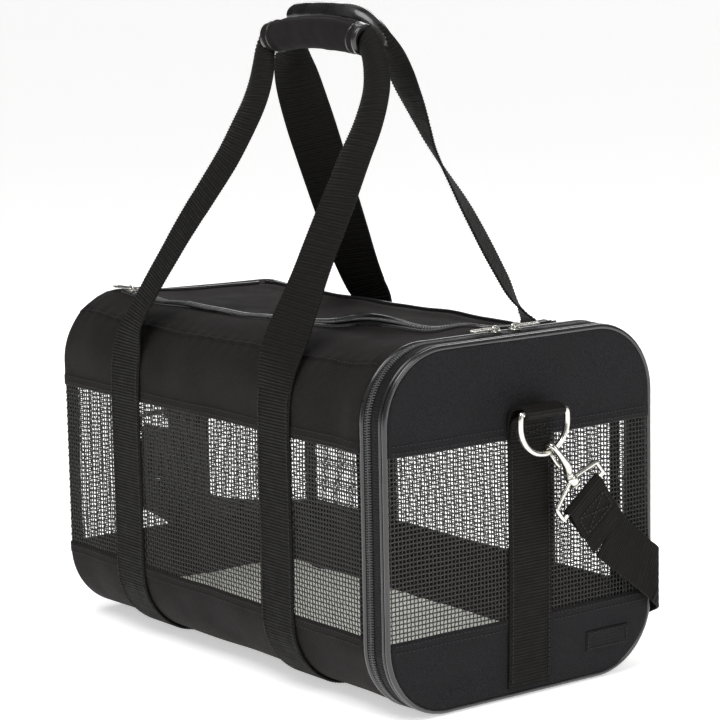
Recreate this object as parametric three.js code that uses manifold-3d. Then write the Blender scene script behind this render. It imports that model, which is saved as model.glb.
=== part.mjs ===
// Soft-sided pet carrier bag. Millimetres, +Z up.
// +X points to the zip door, -Y is the long side with the near handle, and the origin is the middle of
// the footprint on the surface that the bag stands on.
import * as THREE from "three";
import { mergeVertices } from "three/addons/utils/BufferGeometryUtils.js";
import Module from "manifold-3d";

const wasm = await Module();
wasm.setup();

// ---- driving dimensions ----
const LENGTH = 432; // back end to door face
const WIDTH = 252;
const TOP = 266; // height of the end hoops
const WEBBING_THICK = 2;
const WEBBING_WIDTH = 40;
const GAP = 0.3; // between neighbouring pieces
const PIPING_PROUD = 1; // the piping stands this far out of the fabric
const TUBE_BOTTOM = WEBBING_THICK + GAP - PIPING_PROUD; // the bag stands on its two webbing loops
const CORNER_RADIUS = 54;
const FABRIC = 2.5; // sewn fabric with its lining
const WINDOW_LOW = 60.5;
const WINDOW_HIGH = 192.5;
const MESH_THICK = 1.2;
const MESH_LOW = WINDOW_LOW + GAP;
const MESH_HIGH = WINDOW_HIGH - GAP;

const DOOR_FACE = LENGTH / 2;
const BACK_FACE = -LENGTH / 2;
const DOOR_DEPTH = 28.7; // the door is a shallow lid
const BODY_FRONT = DOOR_FACE - DOOR_DEPTH;
const PIPING_WIDTH = 4;
const COIL_WIDTH = 4.3; // one half of the zip
const RIM_WIDTH = 4;
const HINGE_STRIP_END = DOOR_FACE - 5;
const FLAT_HALF = WIDTH / 2 - CORNER_RADIUS; // half the flat part of the bottom

const HOOP_WIRE = 3;
const STRAP_BACK_X = -117; // the two webbing loops that carry the bag
const STRAP_FRONT_X = 85;
const STRAP_TOP = 232;

const PAD_THICK = 11;
const BOARD_THICK = 3;

const FLAP_BACK = -196;
const FLAP_FRONT = 170;
const FLAP_HINGE_Y = 60;
const FLAP_THICK = 2.5;

const RING_WIRE = 2.25;
const RING_HALF = 22;
const RING_LEG = 8.5;
const RING_BAR_X = 18.5; // distance of the ring's bar from the end face
const RING_BAR_Z = 212.5;
const RING_OFFSET_Y = 3;

const GRIP_RADIUS = 11;

// ---- materials ----
const paint = (color, roughness, metalness = 0) =>
  new THREE.MeshStandardMaterial({ color, roughness, metalness });
const panelFabric = paint(0x2b2728, 0.9);
const doorFabric = paint(0x26272b, 0.85);
const meshFabric = paint(0x141414, 0.8);
const webbing = paint(0x1b1916, 0.85);
const vinyl = paint(0x121212, 0.25);
const coil = paint(0x202122, 0.4);
const nickel = paint(0xc8c6bb, 0.2, 1);
const springSteel = paint(0x777777, 0.4, 1);
const board = paint(0x6e6253, 0.8);
const fleece = paint(0x969a8e, 0.95);
const patchCloth = paint(0x1c1c1e, 0.6);
const stitched = paint(0x232122, 0.8);

const bag = new THREE.Group();

function add(name, geometry, material) {
  const mesh = new THREE.Mesh(geometry, material);
  mesh.name = name;
  bag.add(mesh);
  return mesh;
}

// ---- solids: joins and cuts ----
function solid(geometry) {
  const bare = geometry.clone();
  bare.deleteAttribute("normal");
  bare.deleteAttribute("uv");
  const merged = mergeVertices(bare, 1e-4);
  return new wasm.Manifold(
    new wasm.Mesh({
      numProp: 3,
      vertProperties: new Float32Array(merged.attributes.position.array),
      triVerts: new Uint32Array(merged.index.array),
    }),
  );
}

function geometryOf(made) {
  const mesh = made.getMesh();
  const geometry = new THREE.BufferGeometry();
  geometry.setAttribute("position", new THREE.BufferAttribute(new Float32Array(mesh.vertProperties), 3));
  geometry.setIndex(new THREE.BufferAttribute(new Uint32Array(mesh.triVerts), 1));
  geometry.computeVertexNormals();
  return geometry;
}

function block(x0, x1, y0, y1, z0, z1) {
  const geometry = new THREE.BoxGeometry(x1 - x0, y1 - y0, z1 - z0);
  return geometry.translate((x0 + x1) / 2, (y0 + y1) / 2, (z0 + z1) / 2);
}

// A shape drawn in (y, z), pushed along x from x0 to x1.
function alongX(shape, x0, x1, curveSegments = 7) {
  const geometry = new THREE.ExtrudeGeometry(shape, { depth: x1 - x0, bevelEnabled: false, curveSegments });
  const turn = new THREE.Matrix4().makeBasis(
    new THREE.Vector3(0, 1, 0),
    new THREE.Vector3(0, 0, 1),
    new THREE.Vector3(1, 0, 0),
  );
  return geometry.applyMatrix4(turn).translate(x0, 0, 0);
}

// A shape drawn in (x, z), pushed along y from y0 to y1.
function alongY(shape, y0, y1, curveSegments = 7) {
  const geometry = new THREE.ExtrudeGeometry(shape, { depth: y1 - y0, bevelEnabled: false, curveSegments });
  const turn = new THREE.Matrix4().makeBasis(
    new THREE.Vector3(1, 0, 0),
    new THREE.Vector3(0, 0, 1),
    new THREE.Vector3(0, -1, 0),
  );
  return geometry.applyMatrix4(turn).translate(0, y1, 0);
}

// A shape drawn in (x, y), pushed up from z0 to z1.
function alongZ(shape, z0, z1, curveSegments = 7) {
  const geometry = new THREE.ExtrudeGeometry(shape, { depth: z1 - z0, bevelEnabled: false, curveSegments });
  return geometry.translate(0, 0, z0);
}

// The outline of the bag's section, inset from the piping's outer line.
function sectionOutline(inset, Kind = THREE.Shape) {
  const half = WIDTH / 2 - inset;
  const low = TUBE_BOTTOM + inset;
  const high = TOP - inset;
  const r = CORNER_RADIUS - inset;
  const outline = new Kind();
  outline.moveTo(-half + r, low);
  outline.lineTo(half - r, low);
  outline.absarc(half - r, low + r, r, -Math.PI / 2, 0, false);
  outline.lineTo(half, high - r);
  outline.absarc(half - r, high - r, r, 0, Math.PI / 2, false);
  outline.lineTo(-half + r, high);
  outline.absarc(-half + r, high - r, r, Math.PI / 2, Math.PI, false);
  outline.lineTo(-half, low + r);
  outline.absarc(-half + r, low + r, r, Math.PI, Math.PI * 1.5, false);
  return outline;
}

// A ring of the bag's section between two insets.
function sectionRing(x0, x1, outerInset, innerInset) {
  const shape = sectionOutline(outerInset);
  shape.holes.push(sectionOutline(innerInset, THREE.Path));
  return alongX(shape, x0, x1);
}

// ---- fabric tube: side bands, mesh windows, top and bottom ----
const FABRIC_OUT = PIPING_PROUD;
const FABRIC_IN = PIPING_PROUD + FABRIC;
const TUBE_BACK = BACK_FACE + FABRIC + GAP;
const tube = solid(sectionRing(TUBE_BACK, BODY_FRONT, FABRIC_OUT, FABRIC_IN));
const SEAM_Y = 106; // the seam high on each side's rounded corner
const BIG = 400;

add(
  "lower_panel",
  geometryOf(tube.intersect(solid(block(-BIG, BIG, -BIG, BIG, -BIG, WINDOW_LOW)))),
  panelFabric,
);
const MESH_OUT = FABRIC_OUT + 0.6;
for (const [name, side] of [["side_mesh_near", -1], ["side_mesh_far", 1]]) {
  const y = side * (WIDTH / 2 - MESH_OUT - MESH_THICK / 2);
  add(
    name,
    block(TUBE_BACK, BODY_FRONT, y - MESH_THICK / 2, y + MESH_THICK / 2, MESH_LOW, MESH_HIGH),
    meshFabric,
  );
}
for (const [name, side] of [["side_band_near", -1], ["side_band_far", 1]]) {
  const y0 = side < 0 ? -BIG : SEAM_Y;
  const y1 = side < 0 ? -SEAM_Y : BIG;
  add(name, geometryOf(tube.intersect(solid(block(-BIG, BIG, y0, y1, WINDOW_HIGH, BIG)))), panelFabric);
}

// The top flap: a straight hinge line on the far side, and a zipped edge that runs along the near side
// and bends in to the middle of the front.
function flapOutline(grow) {
  const shape = new THREE.Shape();
  const back = FLAP_BACK - Math.min(grow, GAP);
  shape.moveTo(back, FLAP_HINGE_Y + grow * 0.35);
  shape.lineTo(back, -74 - grow);
  shape.lineTo(0, -62 - grow);
  shape.bezierCurveTo(60 + grow, -60 - grow, 95 + grow, -48 - grow, 125 + grow, -34 - grow);
  shape.bezierCurveTo(150 + grow, -22 - grow, FLAP_FRONT + grow, -8 - grow, FLAP_FRONT + grow, 8);
  shape.lineTo(FLAP_FRONT + grow, FLAP_HINGE_Y + grow * 0.35);
  shape.closePath();
  return shape;
}
const COIL_HALF = 3.2;
const openingCut = solid(alongZ(flapOutline(2 * COIL_HALF + 2 * GAP), 240, 280));
const topPanels = tube.subtract(openingCut);
const nearTop = topPanels.intersect(solid(block(-BIG, BIG, -SEAM_Y + GAP, 30, WINDOW_HIGH, BIG)));
const farTop = topPanels.intersect(solid(block(-BIG, BIG, 30 + GAP, SEAM_Y - GAP, WINDOW_HIGH, BIG)));
add("top_panel_near", geometryOf(nearTop), panelFabric);
add("top_panel_far", geometryOf(farTop), panelFabric);

const FLAP_LOW = TOP - FABRIC_IN;
const FLAP_HIGH = FLAP_LOW + FLAP_THICK;
add("top_flap", alongZ(flapOutline(0), FLAP_LOW, FLAP_HIGH), panelFabric);

// The zip of the top: two half coils that follow the flap's edge, cut away along the hinge line.
function zipStrip(inner, outer, z0, z1) {
  const outside = solid(alongZ(flapOutline(outer), z0, z1));
  const inside = solid(alongZ(flapOutline(inner), z0 - 1, z1 + 1));
  const beyondHinge = solid(block(FLAP_BACK + 6, BIG, -BIG, FLAP_HINGE_Y - 1, z0 - 1, z1 + 1));
  return outside.subtract(inside).intersect(beyondHinge);
}
add("top_zip_flap_side", geometryOf(zipStrip(GAP, COIL_HALF, FLAP_LOW, FLAP_HIGH)), coil);
add("top_zip_body_side", geometryOf(zipStrip(COIL_HALF + GAP, 2 * COIL_HALF, FLAP_LOW, FLAP_HIGH)), coil);

// ---- back end ----
const backPlate = solid(alongX(sectionOutline(FABRIC_OUT), BACK_FACE, BACK_FACE + FABRIC));
add(
  "back_panel_low",
  geometryOf(backPlate.intersect(solid(block(-BIG, BIG, -BIG, BIG, -BIG, WINDOW_LOW)))),
  panelFabric,
);
add(
  "back_panel_high",
  geometryOf(backPlate.intersect(solid(block(-BIG, BIG, -BIG, BIG, WINDOW_HIGH, BIG)))),
  panelFabric,
);
const BACK_MESH_X = BACK_FACE + 0.6;
const backMeshPlate = solid(alongX(sectionOutline(FABRIC_OUT), BACK_MESH_X, BACK_MESH_X + MESH_THICK));
add(
  "back_mesh",
  geometryOf(backMeshPlate.intersect(solid(block(-BIG, BIG, -BIG, BIG, MESH_LOW, MESH_HIGH)))),
  meshFabric,
);

// ---- spring-wire hoops, board and pad ----
const HOOP_INSET = FABRIC_IN + 0.4;
const HOOP_FRONT_X = BODY_FRONT - 7;
const HOOP_BACK_X = BACK_FACE + 8;
for (const [name, x] of [["front_hoop", HOOP_FRONT_X], ["back_hoop", HOOP_BACK_X]]) {
  add(name, sectionRing(x, x + HOOP_WIRE, HOOP_INSET, HOOP_INSET + HOOP_WIRE), springSteel);
}
const FLOOR = TUBE_BOTTOM + FABRIC_IN + GAP;
const BOARD_HALF = 76;
const INSIDE_BACK = HOOP_BACK_X + HOOP_WIRE + 0.8;
const INSIDE_FRONT = HOOP_FRONT_X - 0.8;
add(
  "base_board",
  block(INSIDE_BACK, INSIDE_FRONT, -BOARD_HALF, BOARD_HALF, FLOOR, FLOOR + BOARD_THICK),
  board,
);
const PAD_LOW = FLOOR + BOARD_THICK + GAP;
const padSection = new THREE.Shape();
padSection.moveTo(-88, PAD_LOW);
padSection.lineTo(88, PAD_LOW);
padSection.lineTo(104, PAD_LOW + PAD_THICK - 2);
padSection.lineTo(100, PAD_LOW + PAD_THICK);
padSection.lineTo(-100, PAD_LOW + PAD_THICK);
padSection.lineTo(-104, PAD_LOW + PAD_THICK - 2);
padSection.closePath();
add("fleece_pad", alongX(padSection, INSIDE_BACK + 2, INSIDE_FRONT - 2), fleece);

// ---- front of the body: piping and its half of the door zip ----
const PIPING_X = BODY_FRONT + GAP;
add("body_piping", sectionRing(PIPING_X, PIPING_X + PIPING_WIDTH, 0, FABRIC_IN), vinyl);
const belowDoor = solid(block(-BIG, BIG, -FLAT_HALF - 2, FLAT_HALF + 2, -BIG, TUBE_BOTTOM + 12));
const openRing = (x0, x1, outerInset, innerInset) =>
  geometryOf(solid(sectionRing(x0, x1, outerInset, innerInset)).subtract(belowDoor));
const BODY_COIL_X = PIPING_X + PIPING_WIDTH + GAP;
const DOOR_COIL_X = BODY_COIL_X + COIL_WIDTH + GAP;
const GUSSET_X = DOOR_COIL_X + COIL_WIDTH + GAP;
const RIM_X = DOOR_FACE - RIM_WIDTH;
const INNER_PIPING = 2.4;
const INNER_PIPING_X = RIM_X - GAP - INNER_PIPING;
add("door_zip_body_side", openRing(BODY_COIL_X, BODY_COIL_X + COIL_WIDTH, FABRIC_OUT, FABRIC_IN), coil);
add(
  "hinge_strip",
  block(
    BODY_COIL_X,
    HINGE_STRIP_END,
    -FLAT_HALF,
    FLAT_HALF,
    TUBE_BOTTOM + FABRIC_OUT,
    TUBE_BOTTOM + FABRIC_IN,
  ),
  panelFabric,
);

// ---- door ----
add("door_zip_door_side", openRing(DOOR_COIL_X, DOOR_COIL_X + COIL_WIDTH, FABRIC_OUT, FABRIC_IN), coil);
add("door_gusset", openRing(GUSSET_X, INNER_PIPING_X - GAP, FABRIC_OUT, FABRIC_IN), stitched);
add("door_piping_inner", openRing(INNER_PIPING_X, INNER_PIPING_X + INNER_PIPING, 0, FABRIC_IN), vinyl);
const RIM_INSET = 3.6;
add("door_piping_outer", sectionRing(RIM_X, DOOR_FACE, 0, RIM_INSET), vinyl);
const DOOR_PLATE_X = DOOR_FACE - 0.4;
const doorPlate = solid(alongX(sectionOutline(RIM_INSET + GAP), DOOR_PLATE_X - FABRIC, DOOR_PLATE_X));
add(
  "door_panel_low",
  geometryOf(doorPlate.intersect(solid(block(-BIG, BIG, -BIG, BIG, -BIG, WINDOW_LOW)))),
  doorFabric,
);
add(
  "door_panel_high",
  geometryOf(doorPlate.intersect(solid(block(-BIG, BIG, -BIG, BIG, WINDOW_HIGH, BIG)))),
  doorFabric,
);
const DOOR_MESH_X = DOOR_PLATE_X - 1.9;
const doorOutline = sectionOutline(RIM_INSET + GAP);
const doorMeshPlate = solid(alongX(doorOutline, DOOR_MESH_X, DOOR_MESH_X + MESH_THICK));
add(
  "door_mesh",
  geometryOf(doorMeshPlate.intersect(solid(block(-BIG, BIG, -BIG, BIG, MESH_LOW, MESH_HIGH)))),
  meshFabric,
);
add("door_patch", block(DOOR_FACE - 0.1, DOOR_FACE + 0.7, 59, 101, 22, 38), patchCloth);

// ---- webbing loops under the bag ----
function webbingLoop(centre) {
  const shape = sectionOutline(FABRIC_OUT - GAP - WEBBING_THICK);
  shape.holes.push(sectionOutline(FABRIC_OUT - GAP, THREE.Path));
  const ring = solid(alongX(shape, centre - WEBBING_WIDTH / 2, centre + WEBBING_WIDTH / 2));
  return geometryOf(ring.intersect(solid(block(-BIG, BIG, -BIG, BIG, -BIG, STRAP_TOP))));
}
add("webbing_loop_back", webbingLoop(STRAP_BACK_X), webbing);
add("webbing_loop_front", webbingLoop(STRAP_FRONT_X), webbing);

// ---- ribbons: flat webbing along a path ----
// Each station is {at, across, width}: a point, the direction of the webbing's width, and its width.
function ribbon(stations, thickness) {
  const points = [];
  stations.forEach((station, i) => {
    const before = stations[Math.max(i - 1, 0)].at;
    const after = stations[Math.min(i + 1, stations.length - 1)].at;
    const along = after.clone().sub(before).normalize();
    const across = station.across.clone();
    across.addScaledVector(along, -across.dot(along)).normalize();
    const face = along.clone().cross(across);
    for (const [w, t] of [[-1, -1], [1, -1], [1, 1], [-1, 1]]) {
      points.push(
        station.at
          .clone()
          .addScaledVector(across, (w * station.width) / 2)
          .addScaledVector(face, (t * thickness) / 2),
      );
    }
  });
  const faces = [];
  const last = (stations.length - 1) * 4;
  faces.push(0, 3, 2, 0, 2, 1);
  faces.push(last, last + 1, last + 2, last, last + 2, last + 3);
  for (let i = 0; i < stations.length - 1; i++) {
    for (let k = 0; k < 4; k++) {
      const a = i * 4 + k;
      const b = i * 4 + ((k + 1) % 4);
      faces.push(a, b, b + 4, a, b + 4, a + 4);
    }
  }
  const geometry = new THREE.BufferGeometry();
  geometry.setAttribute("position", new THREE.Float32BufferAttribute(points.flatMap((p) => p.toArray()), 3));
  geometry.setIndex(faces);
  geometry.computeVertexNormals();
  return geometry;
}

// ---- handles: two legs of webbing that meet in a padded grip ----
const FOOT_GAP = 2.5; // where the webbing bends when a handle folds down
const NARROW = 14; // the webbing folded up inside a grip
// A handle lies in a leaning plane. Its knots are [x, height, width] from the back leg's foot over the
// grip to the front leg's foot.
function handle(name, side, knots, grip) {
  const foot = new THREE.Vector3(0, side * (WIDTH / 2 + 0.35), STRAP_TOP + FOOT_GAP);
  const peak = new THREE.Vector3(0, grip.y, grip.z);
  const up = peak.clone().sub(foot);
  const curve = new THREE.CatmullRomCurve3(
    knots.map(([x, z]) => {
      const point = foot.clone().addScaledVector(up, (z - foot.z) / up.z);
      point.x = x;
      return point;
    }),
    false,
    "centripetal",
  );
  const flat = new THREE.Vector3(1, 0, 0).cross(up).normalize();
  const steps = 52;
  const stations = [];
  for (let i = 0; i <= steps; i++) {
    const t = i / steps;
    const at = curve.getPoint(t);
    const along = curve.getTangent(t);
    const knot = t * (knots.length - 1);
    const lower = Math.min(Math.floor(knot), knots.length - 2);
    const width = THREE.MathUtils.lerp(knots[lower][2], knots[lower + 1][2], knot - lower);
    stations.push({ at, across: flat.clone().cross(along), width });
  }
  add(name + "_handle", ribbon(stations, WEBBING_THICK), webbing);

  // The grip is a padded roll, split along its length by the webbing that runs through it.
  const roll = new THREE.Shape();
  roll.absarc(0, 0, GRIP_RADIUS, 0, Math.PI * 2, false);
  const slot = new THREE.Path();
  slot.moveTo(-2.1, -8.8);
  slot.lineTo(2.1, -8.8);
  slot.lineTo(2.1, 8.8);
  slot.lineTo(-2.1, 8.8);
  slot.closePath();
  roll.holes.push(slot);
  const lean = Math.atan2(up.y, up.z);
  const body = alongX(roll, grip.x0, grip.x1, 9);
  body.rotateX(-lean);
  body.translate(0, grip.y, grip.z);
  add(name + "_grip", body, stitched);
}
handle(
  "near",
  -1,
  [
    [-117, 234.5, 40], [-116, 252, 40], [-105.5, 290, 40], [-92, 323, 40], [-77, 356, 39], [-64, 392, 38],
    [-59, 424, 34], [-62, 441, 28], [-66, 456, 21], [-68, 468, NARROW], [-61, 475.5, NARROW],
    [-40, 475.5, NARROW], [0, 475.5, NARROW], [40, 475.5, NARROW], [60, 475.5, NARROW], [72, 470, NARROW],
    [81, 457, 21], [88, 440, 28], [92.5, 420, 34], [92.5, 390, 38], [91.5, 355, 40], [89, 310, 40],
    [86, 256, 40], [85, 234.5, 40],
  ],
  { y: -15, z: 475.5, x0: -60, x1: 56 },
);
handle(
  "far",
  1,
  [
    [-117, 234.5, 40], [-118, 256, 40], [-118, 285, 40], [-114, 325, 40], [-108, 372, 40], [-104, 402, 39],
    [-99, 430, 35], [-94, 452, 28], [-88, 470, 20], [-81, 481, NARROW], [-70, 486.5, NARROW],
    [-40, 486.5, NARROW], [0, 486.5, NARROW], [20, 486.5, NARROW], [31, 482, NARROW], [38, 471, 18],
    [41, 452, 26], [41, 430, 34], [44, 400, 38], [50, 365, 40], [61, 330, 40], [70, 295, 40],
    [80, 260, 40], [85, 234.5, 40],
  ],
  { y: 10, z: 486.5, x0: -68, x1: 18 },
);

// ---- end hardware: webbing, ring, snap hook and the strap's eye, at the door and at the back ----
// end is +1 at the door and -1 at the back. lean is the hook's tilt away from straight down.
const JAW_OUT = 7.6; // all of these are heights below the ring's wire, along the hook
const JAW_IN = 3.6;
const NOSE = -5;
const GATE_END = -17.6;
const NECK = -22;
const SHANK_END = -26.2;
const HUB_LENGTH = 7.6;
const HUB_TOP = SHANK_END - 0.6;
const EYE_TOP = -28.6;
const EYE_CORNER = -35.5;
const EYE_END = -49.5;
const EYE_HALF = 26;
const EYE_BAR = 3.6;
const PIN_RADIUS = 2;
const PIN_HEAD = HUB_TOP - HUB_LENGTH - 0.6;
const FOLD_START = -42.5;
const FOLD_END = -73.5;

function endHardware(end, names, centreY, lean) {
  const face = end > 0 ? DOOR_FACE : BACK_FACE;
  const outward = (distance) => face + end * distance;
  const spanX = (a, b) => [Math.min(outward(a), outward(b)), Math.max(outward(a), outward(b))];

  const strapX = spanX(GAP, GAP + WEBBING_THICK);
  add(
    names.strap,
    block(...strapX, centreY - WEBBING_WIDTH / 2, centreY + WEBBING_WIDTH / 2, 8, 217),
    webbing,
  );

  // The tab is the strap's end, folded round the ring's bar.
  const barX = outward(RING_BAR_X);
  const tabStart = outward(GAP * 2 + WEBBING_THICK);
  const tabRadius = RING_WIRE + 1.9;
  const tab = new THREE.Shape();
  const tabHigh = RING_BAR_Z + tabRadius;
  const tabLow = RING_BAR_Z - tabRadius;
  if (end > 0) {
    tab.moveTo(tabStart, tabLow);
    tab.lineTo(barX, tabLow);
    tab.absarc(barX, RING_BAR_Z, tabRadius, -Math.PI / 2, Math.PI / 2, false);
    tab.lineTo(tabStart, tabHigh);
  } else {
    tab.moveTo(tabStart, tabHigh);
    tab.lineTo(barX, tabHigh);
    tab.absarc(barX, RING_BAR_Z, tabRadius, Math.PI / 2, Math.PI * 1.5, false);
    tab.lineTo(tabStart, tabLow);
  }
  tab.closePath();
  const eyeHole = new THREE.Path();
  eyeHole.absarc(barX, RING_BAR_Z, RING_WIRE + 0.35, 0, Math.PI * 2, true);
  tab.holes.push(eyeHole);
  const tabHalf = RING_HALF - RING_WIRE - 1.6;
  add(names.tab, alongY(tab, centreY - tabHalf, centreY + tabHalf), webbing);

  // The ring hangs straight down from its bar.
  const bowZ = RING_BAR_Z - RING_LEG;
  const ringPoint = (y, z) => new THREE.Vector3(barX, centreY + y, RING_BAR_Z + z);
  const ringPoints = [-19.2, -9, 0, 9, 19.2].map((y) => ringPoint(y, 0));
  ringPoints.unshift(ringPoint(-RING_HALF, -3), ringPoint(-21.2, -1));
  ringPoints.push(ringPoint(21.2, -1), ringPoint(RING_HALF, -3));
  for (let i = 0; i <= 12; i++) {
    const angle = (-Math.PI * i) / 12;
    ringPoints.push(
      new THREE.Vector3(barX, centreY + RING_HALF * Math.cos(angle), bowZ + RING_HALF * Math.sin(angle)),
    );
  }
  const ringCurve = new THREE.CatmullRomCurve3(ringPoints, true, "centripetal");
  add(names.ring, new THREE.TubeGeometry(ringCurve, 56, RING_WIRE, 8, true), nickel);

  // The hook's own frame: v points up its length, u points outward from the bag, w lies across it.
  const down = new THREE.Vector3(0, Math.sin(lean), -Math.cos(lean));
  const up = down.clone().negate();
  const out = new THREE.Vector3(1, 0, 0).multiplyScalar(end);
  const across = out.clone().cross(up);
  const bowAngle = -Math.PI / 2 + lean * 0.55;
  const origin = new THREE.Vector3(
    barX,
    centreY + RING_HALF * Math.cos(bowAngle),
    bowZ + RING_HALF * Math.sin(bowAngle),
  );
  const frame = new THREE.Matrix4().makeBasis(out, up, across).setPosition(origin);
  const flatFrame = new THREE.Matrix4().makeBasis(across.clone().negate(), up, out).setPosition(origin);

  const jaw = new THREE.Shape();
  jaw.moveTo(-JAW_OUT, NOSE);
  jaw.lineTo(-4.4, NOSE);
  jaw.lineTo(-JAW_IN, 0);
  jaw.absarc(0, 0, JAW_IN, Math.PI, 0, true);
  jaw.lineTo(JAW_IN, GATE_END - 0.4);
  jaw.lineTo(-7.4, GATE_END - 0.4);
  jaw.lineTo(-5.4, NECK);
  jaw.lineTo(-2.6, SHANK_END);
  jaw.lineTo(2.6, SHANK_END);
  jaw.lineTo(5.6, NECK);
  jaw.lineTo(JAW_OUT, GATE_END + 1);
  jaw.lineTo(JAW_OUT, 0);
  jaw.absarc(0, 0, JAW_OUT, 0, Math.PI, false);
  jaw.closePath();
  const jawThick = 5;
  const jawBody = new THREE.ExtrudeGeometry(jaw, {
    depth: jawThick,
    bevelEnabled: false,
    curveSegments: 8,
  }).translate(0, 0, -jawThick / 2);
  const pinProfile = [
    [0, SHANK_END + 2], [PIN_RADIUS, SHANK_END + 2], [PIN_RADIUS, PIN_HEAD], [3.5, PIN_HEAD],
    [3.5, PIN_HEAD - 1.6], [0, PIN_HEAD - 1.6],
  ];
  const pin = new THREE.LatheGeometry(pinProfile.reverse().map(([r, v]) => new THREE.Vector2(r, v)), 12);
  const hook = geometryOf(solid(jawBody).add(solid(pin)));
  add(names.hook, hook.applyMatrix4(frame), nickel);

  const gate = block(-7.2, -4.4, GATE_END, NOSE - 0.4, -2.1, 2.1);
  add(names.gate, gate.applyMatrix4(frame), nickel);

  // The eye: a roof-shaped frame that turns on the hook's pin and carries the strap.
  const eye = new THREE.Shape();
  eye.moveTo(-EYE_HALF, EYE_END);
  eye.lineTo(EYE_HALF, EYE_END);
  eye.lineTo(EYE_HALF, EYE_CORNER);
  eye.lineTo(5, EYE_TOP);
  eye.lineTo(-5, EYE_TOP);
  eye.lineTo(-EYE_HALF, EYE_CORNER);
  eye.closePath();
  const window = new THREE.Path();
  const windowHalf = EYE_HALF - EYE_BAR;
  const windowLow = EYE_END + EYE_BAR;
  window.moveTo(-windowHalf, windowLow);
  window.lineTo(-windowHalf, EYE_CORNER - 3);
  window.lineTo(-5.5, EYE_TOP - 4.6);
  window.lineTo(5.5, EYE_TOP - 4.6);
  window.lineTo(windowHalf, EYE_CORNER - 3);
  window.lineTo(windowHalf, windowLow);
  window.closePath();
  eye.holes.push(window);
  const eyeBody = new THREE.ExtrudeGeometry(eye, { depth: EYE_BAR, bevelEnabled: false }).translate(
    0,
    0,
    -EYE_BAR / 2,
  );
  const hubMiddle = HUB_TOP - HUB_LENGTH / 2;
  const hub = new THREE.CylinderGeometry(4.6, 4.6, HUB_LENGTH, 14).translate(0, hubMiddle, 0);
  const hole = new THREE.CylinderGeometry(PIN_RADIUS + 0.4, PIN_RADIUS + 0.4, 11, 12);
  hole.translate(0, hubMiddle, 0);
  const eyeSolid = solid(eyeBody).add(solid(hub)).subtract(solid(hole));
  add(names.eye, geometryOf(eyeSolid).applyMatrix4(flatFrame), nickel);

  // The strap's sewn end, folded round the eye's bar.
  const fold = new THREE.Shape();
  fold.moveTo(-1.1, FOLD_END);
  fold.lineTo(1.1, FOLD_END);
  fold.lineTo(2.2, EYE_END - 6);
  fold.lineTo(4.2, EYE_END - 1);
  fold.lineTo(4.2, windowLow + 1);
  fold.lineTo(2.6, FOLD_START);
  fold.lineTo(-2.6, FOLD_START);
  fold.lineTo(-4.2, windowLow + 1);
  fold.lineTo(-4.2, EYE_END - 1);
  fold.lineTo(-2.2, EYE_END - 6);
  fold.closePath();
  const barSlot = new THREE.Path();
  const slotHalf = EYE_BAR / 2 + 0.35;
  barSlot.moveTo(-slotHalf, EYE_END - 0.35);
  barSlot.lineTo(-slotHalf, windowLow + 0.35);
  barSlot.lineTo(slotHalf, windowLow + 0.35);
  barSlot.lineTo(slotHalf, EYE_END - 0.35);
  barSlot.closePath();
  fold.holes.push(barSlot);
  const foldWidth = 38;
  const foldBody = new THREE.ExtrudeGeometry(fold, { depth: foldWidth, bevelEnabled: false });
  add(names.fold, foldBody.translate(0, 0, -foldWidth / 2).applyMatrix4(frame), webbing);

  const start = origin.clone().addScaledVector(down, -FOLD_END + 0.6);
  return { start, next: start.clone().addScaledVector(down, 8), down, across };
}

const doorEnd = endHardware(
  1,
  { strap: "door_strap", tab: "door_ring_tab", ring: "door_ring", hook: "door_hook", gate: "door_hook_gate",
    eye: "door_hook_eye", fold: "door_strap_fold" },
  RING_OFFSET_Y,
  THREE.MathUtils.degToRad(38),
);
const backEnd = endHardware(
  -1,
  { strap: "back_strap", tab: "back_ring_tab", ring: "back_ring", hook: "back_hook", gate: "back_hook_gate",
    eye: "back_hook_eye", fold: "back_strap_fold" },
  -RING_OFFSET_Y,
  THREE.MathUtils.degToRad(-14),
);

// ---- shoulder strap: from the door's hook round the far side to the back hook ----
function strapStretch(name, knots) {
  const curve = new THREE.CatmullRomCurve3(knots.map((k) => k.at), false, "centripetal");
  const steps = Math.max(8, Math.round(curve.getLength() / 12));
  const stations = [];
  for (let i = 0; i <= steps; i++) {
    const t = i / steps;
    const knot = t * (knots.length - 1);
    const lower = Math.min(Math.floor(knot), knots.length - 2);
    const across = knots[lower].across.clone().lerp(knots[lower + 1].across, knot - lower);
    stations.push({ at: curve.getPoint(t), across, width: 38 });
  }
  add(name, ribbon(stations, 1.8), webbing);
}
const v = (x, y, z) => new THREE.Vector3(x, y, z);
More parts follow.
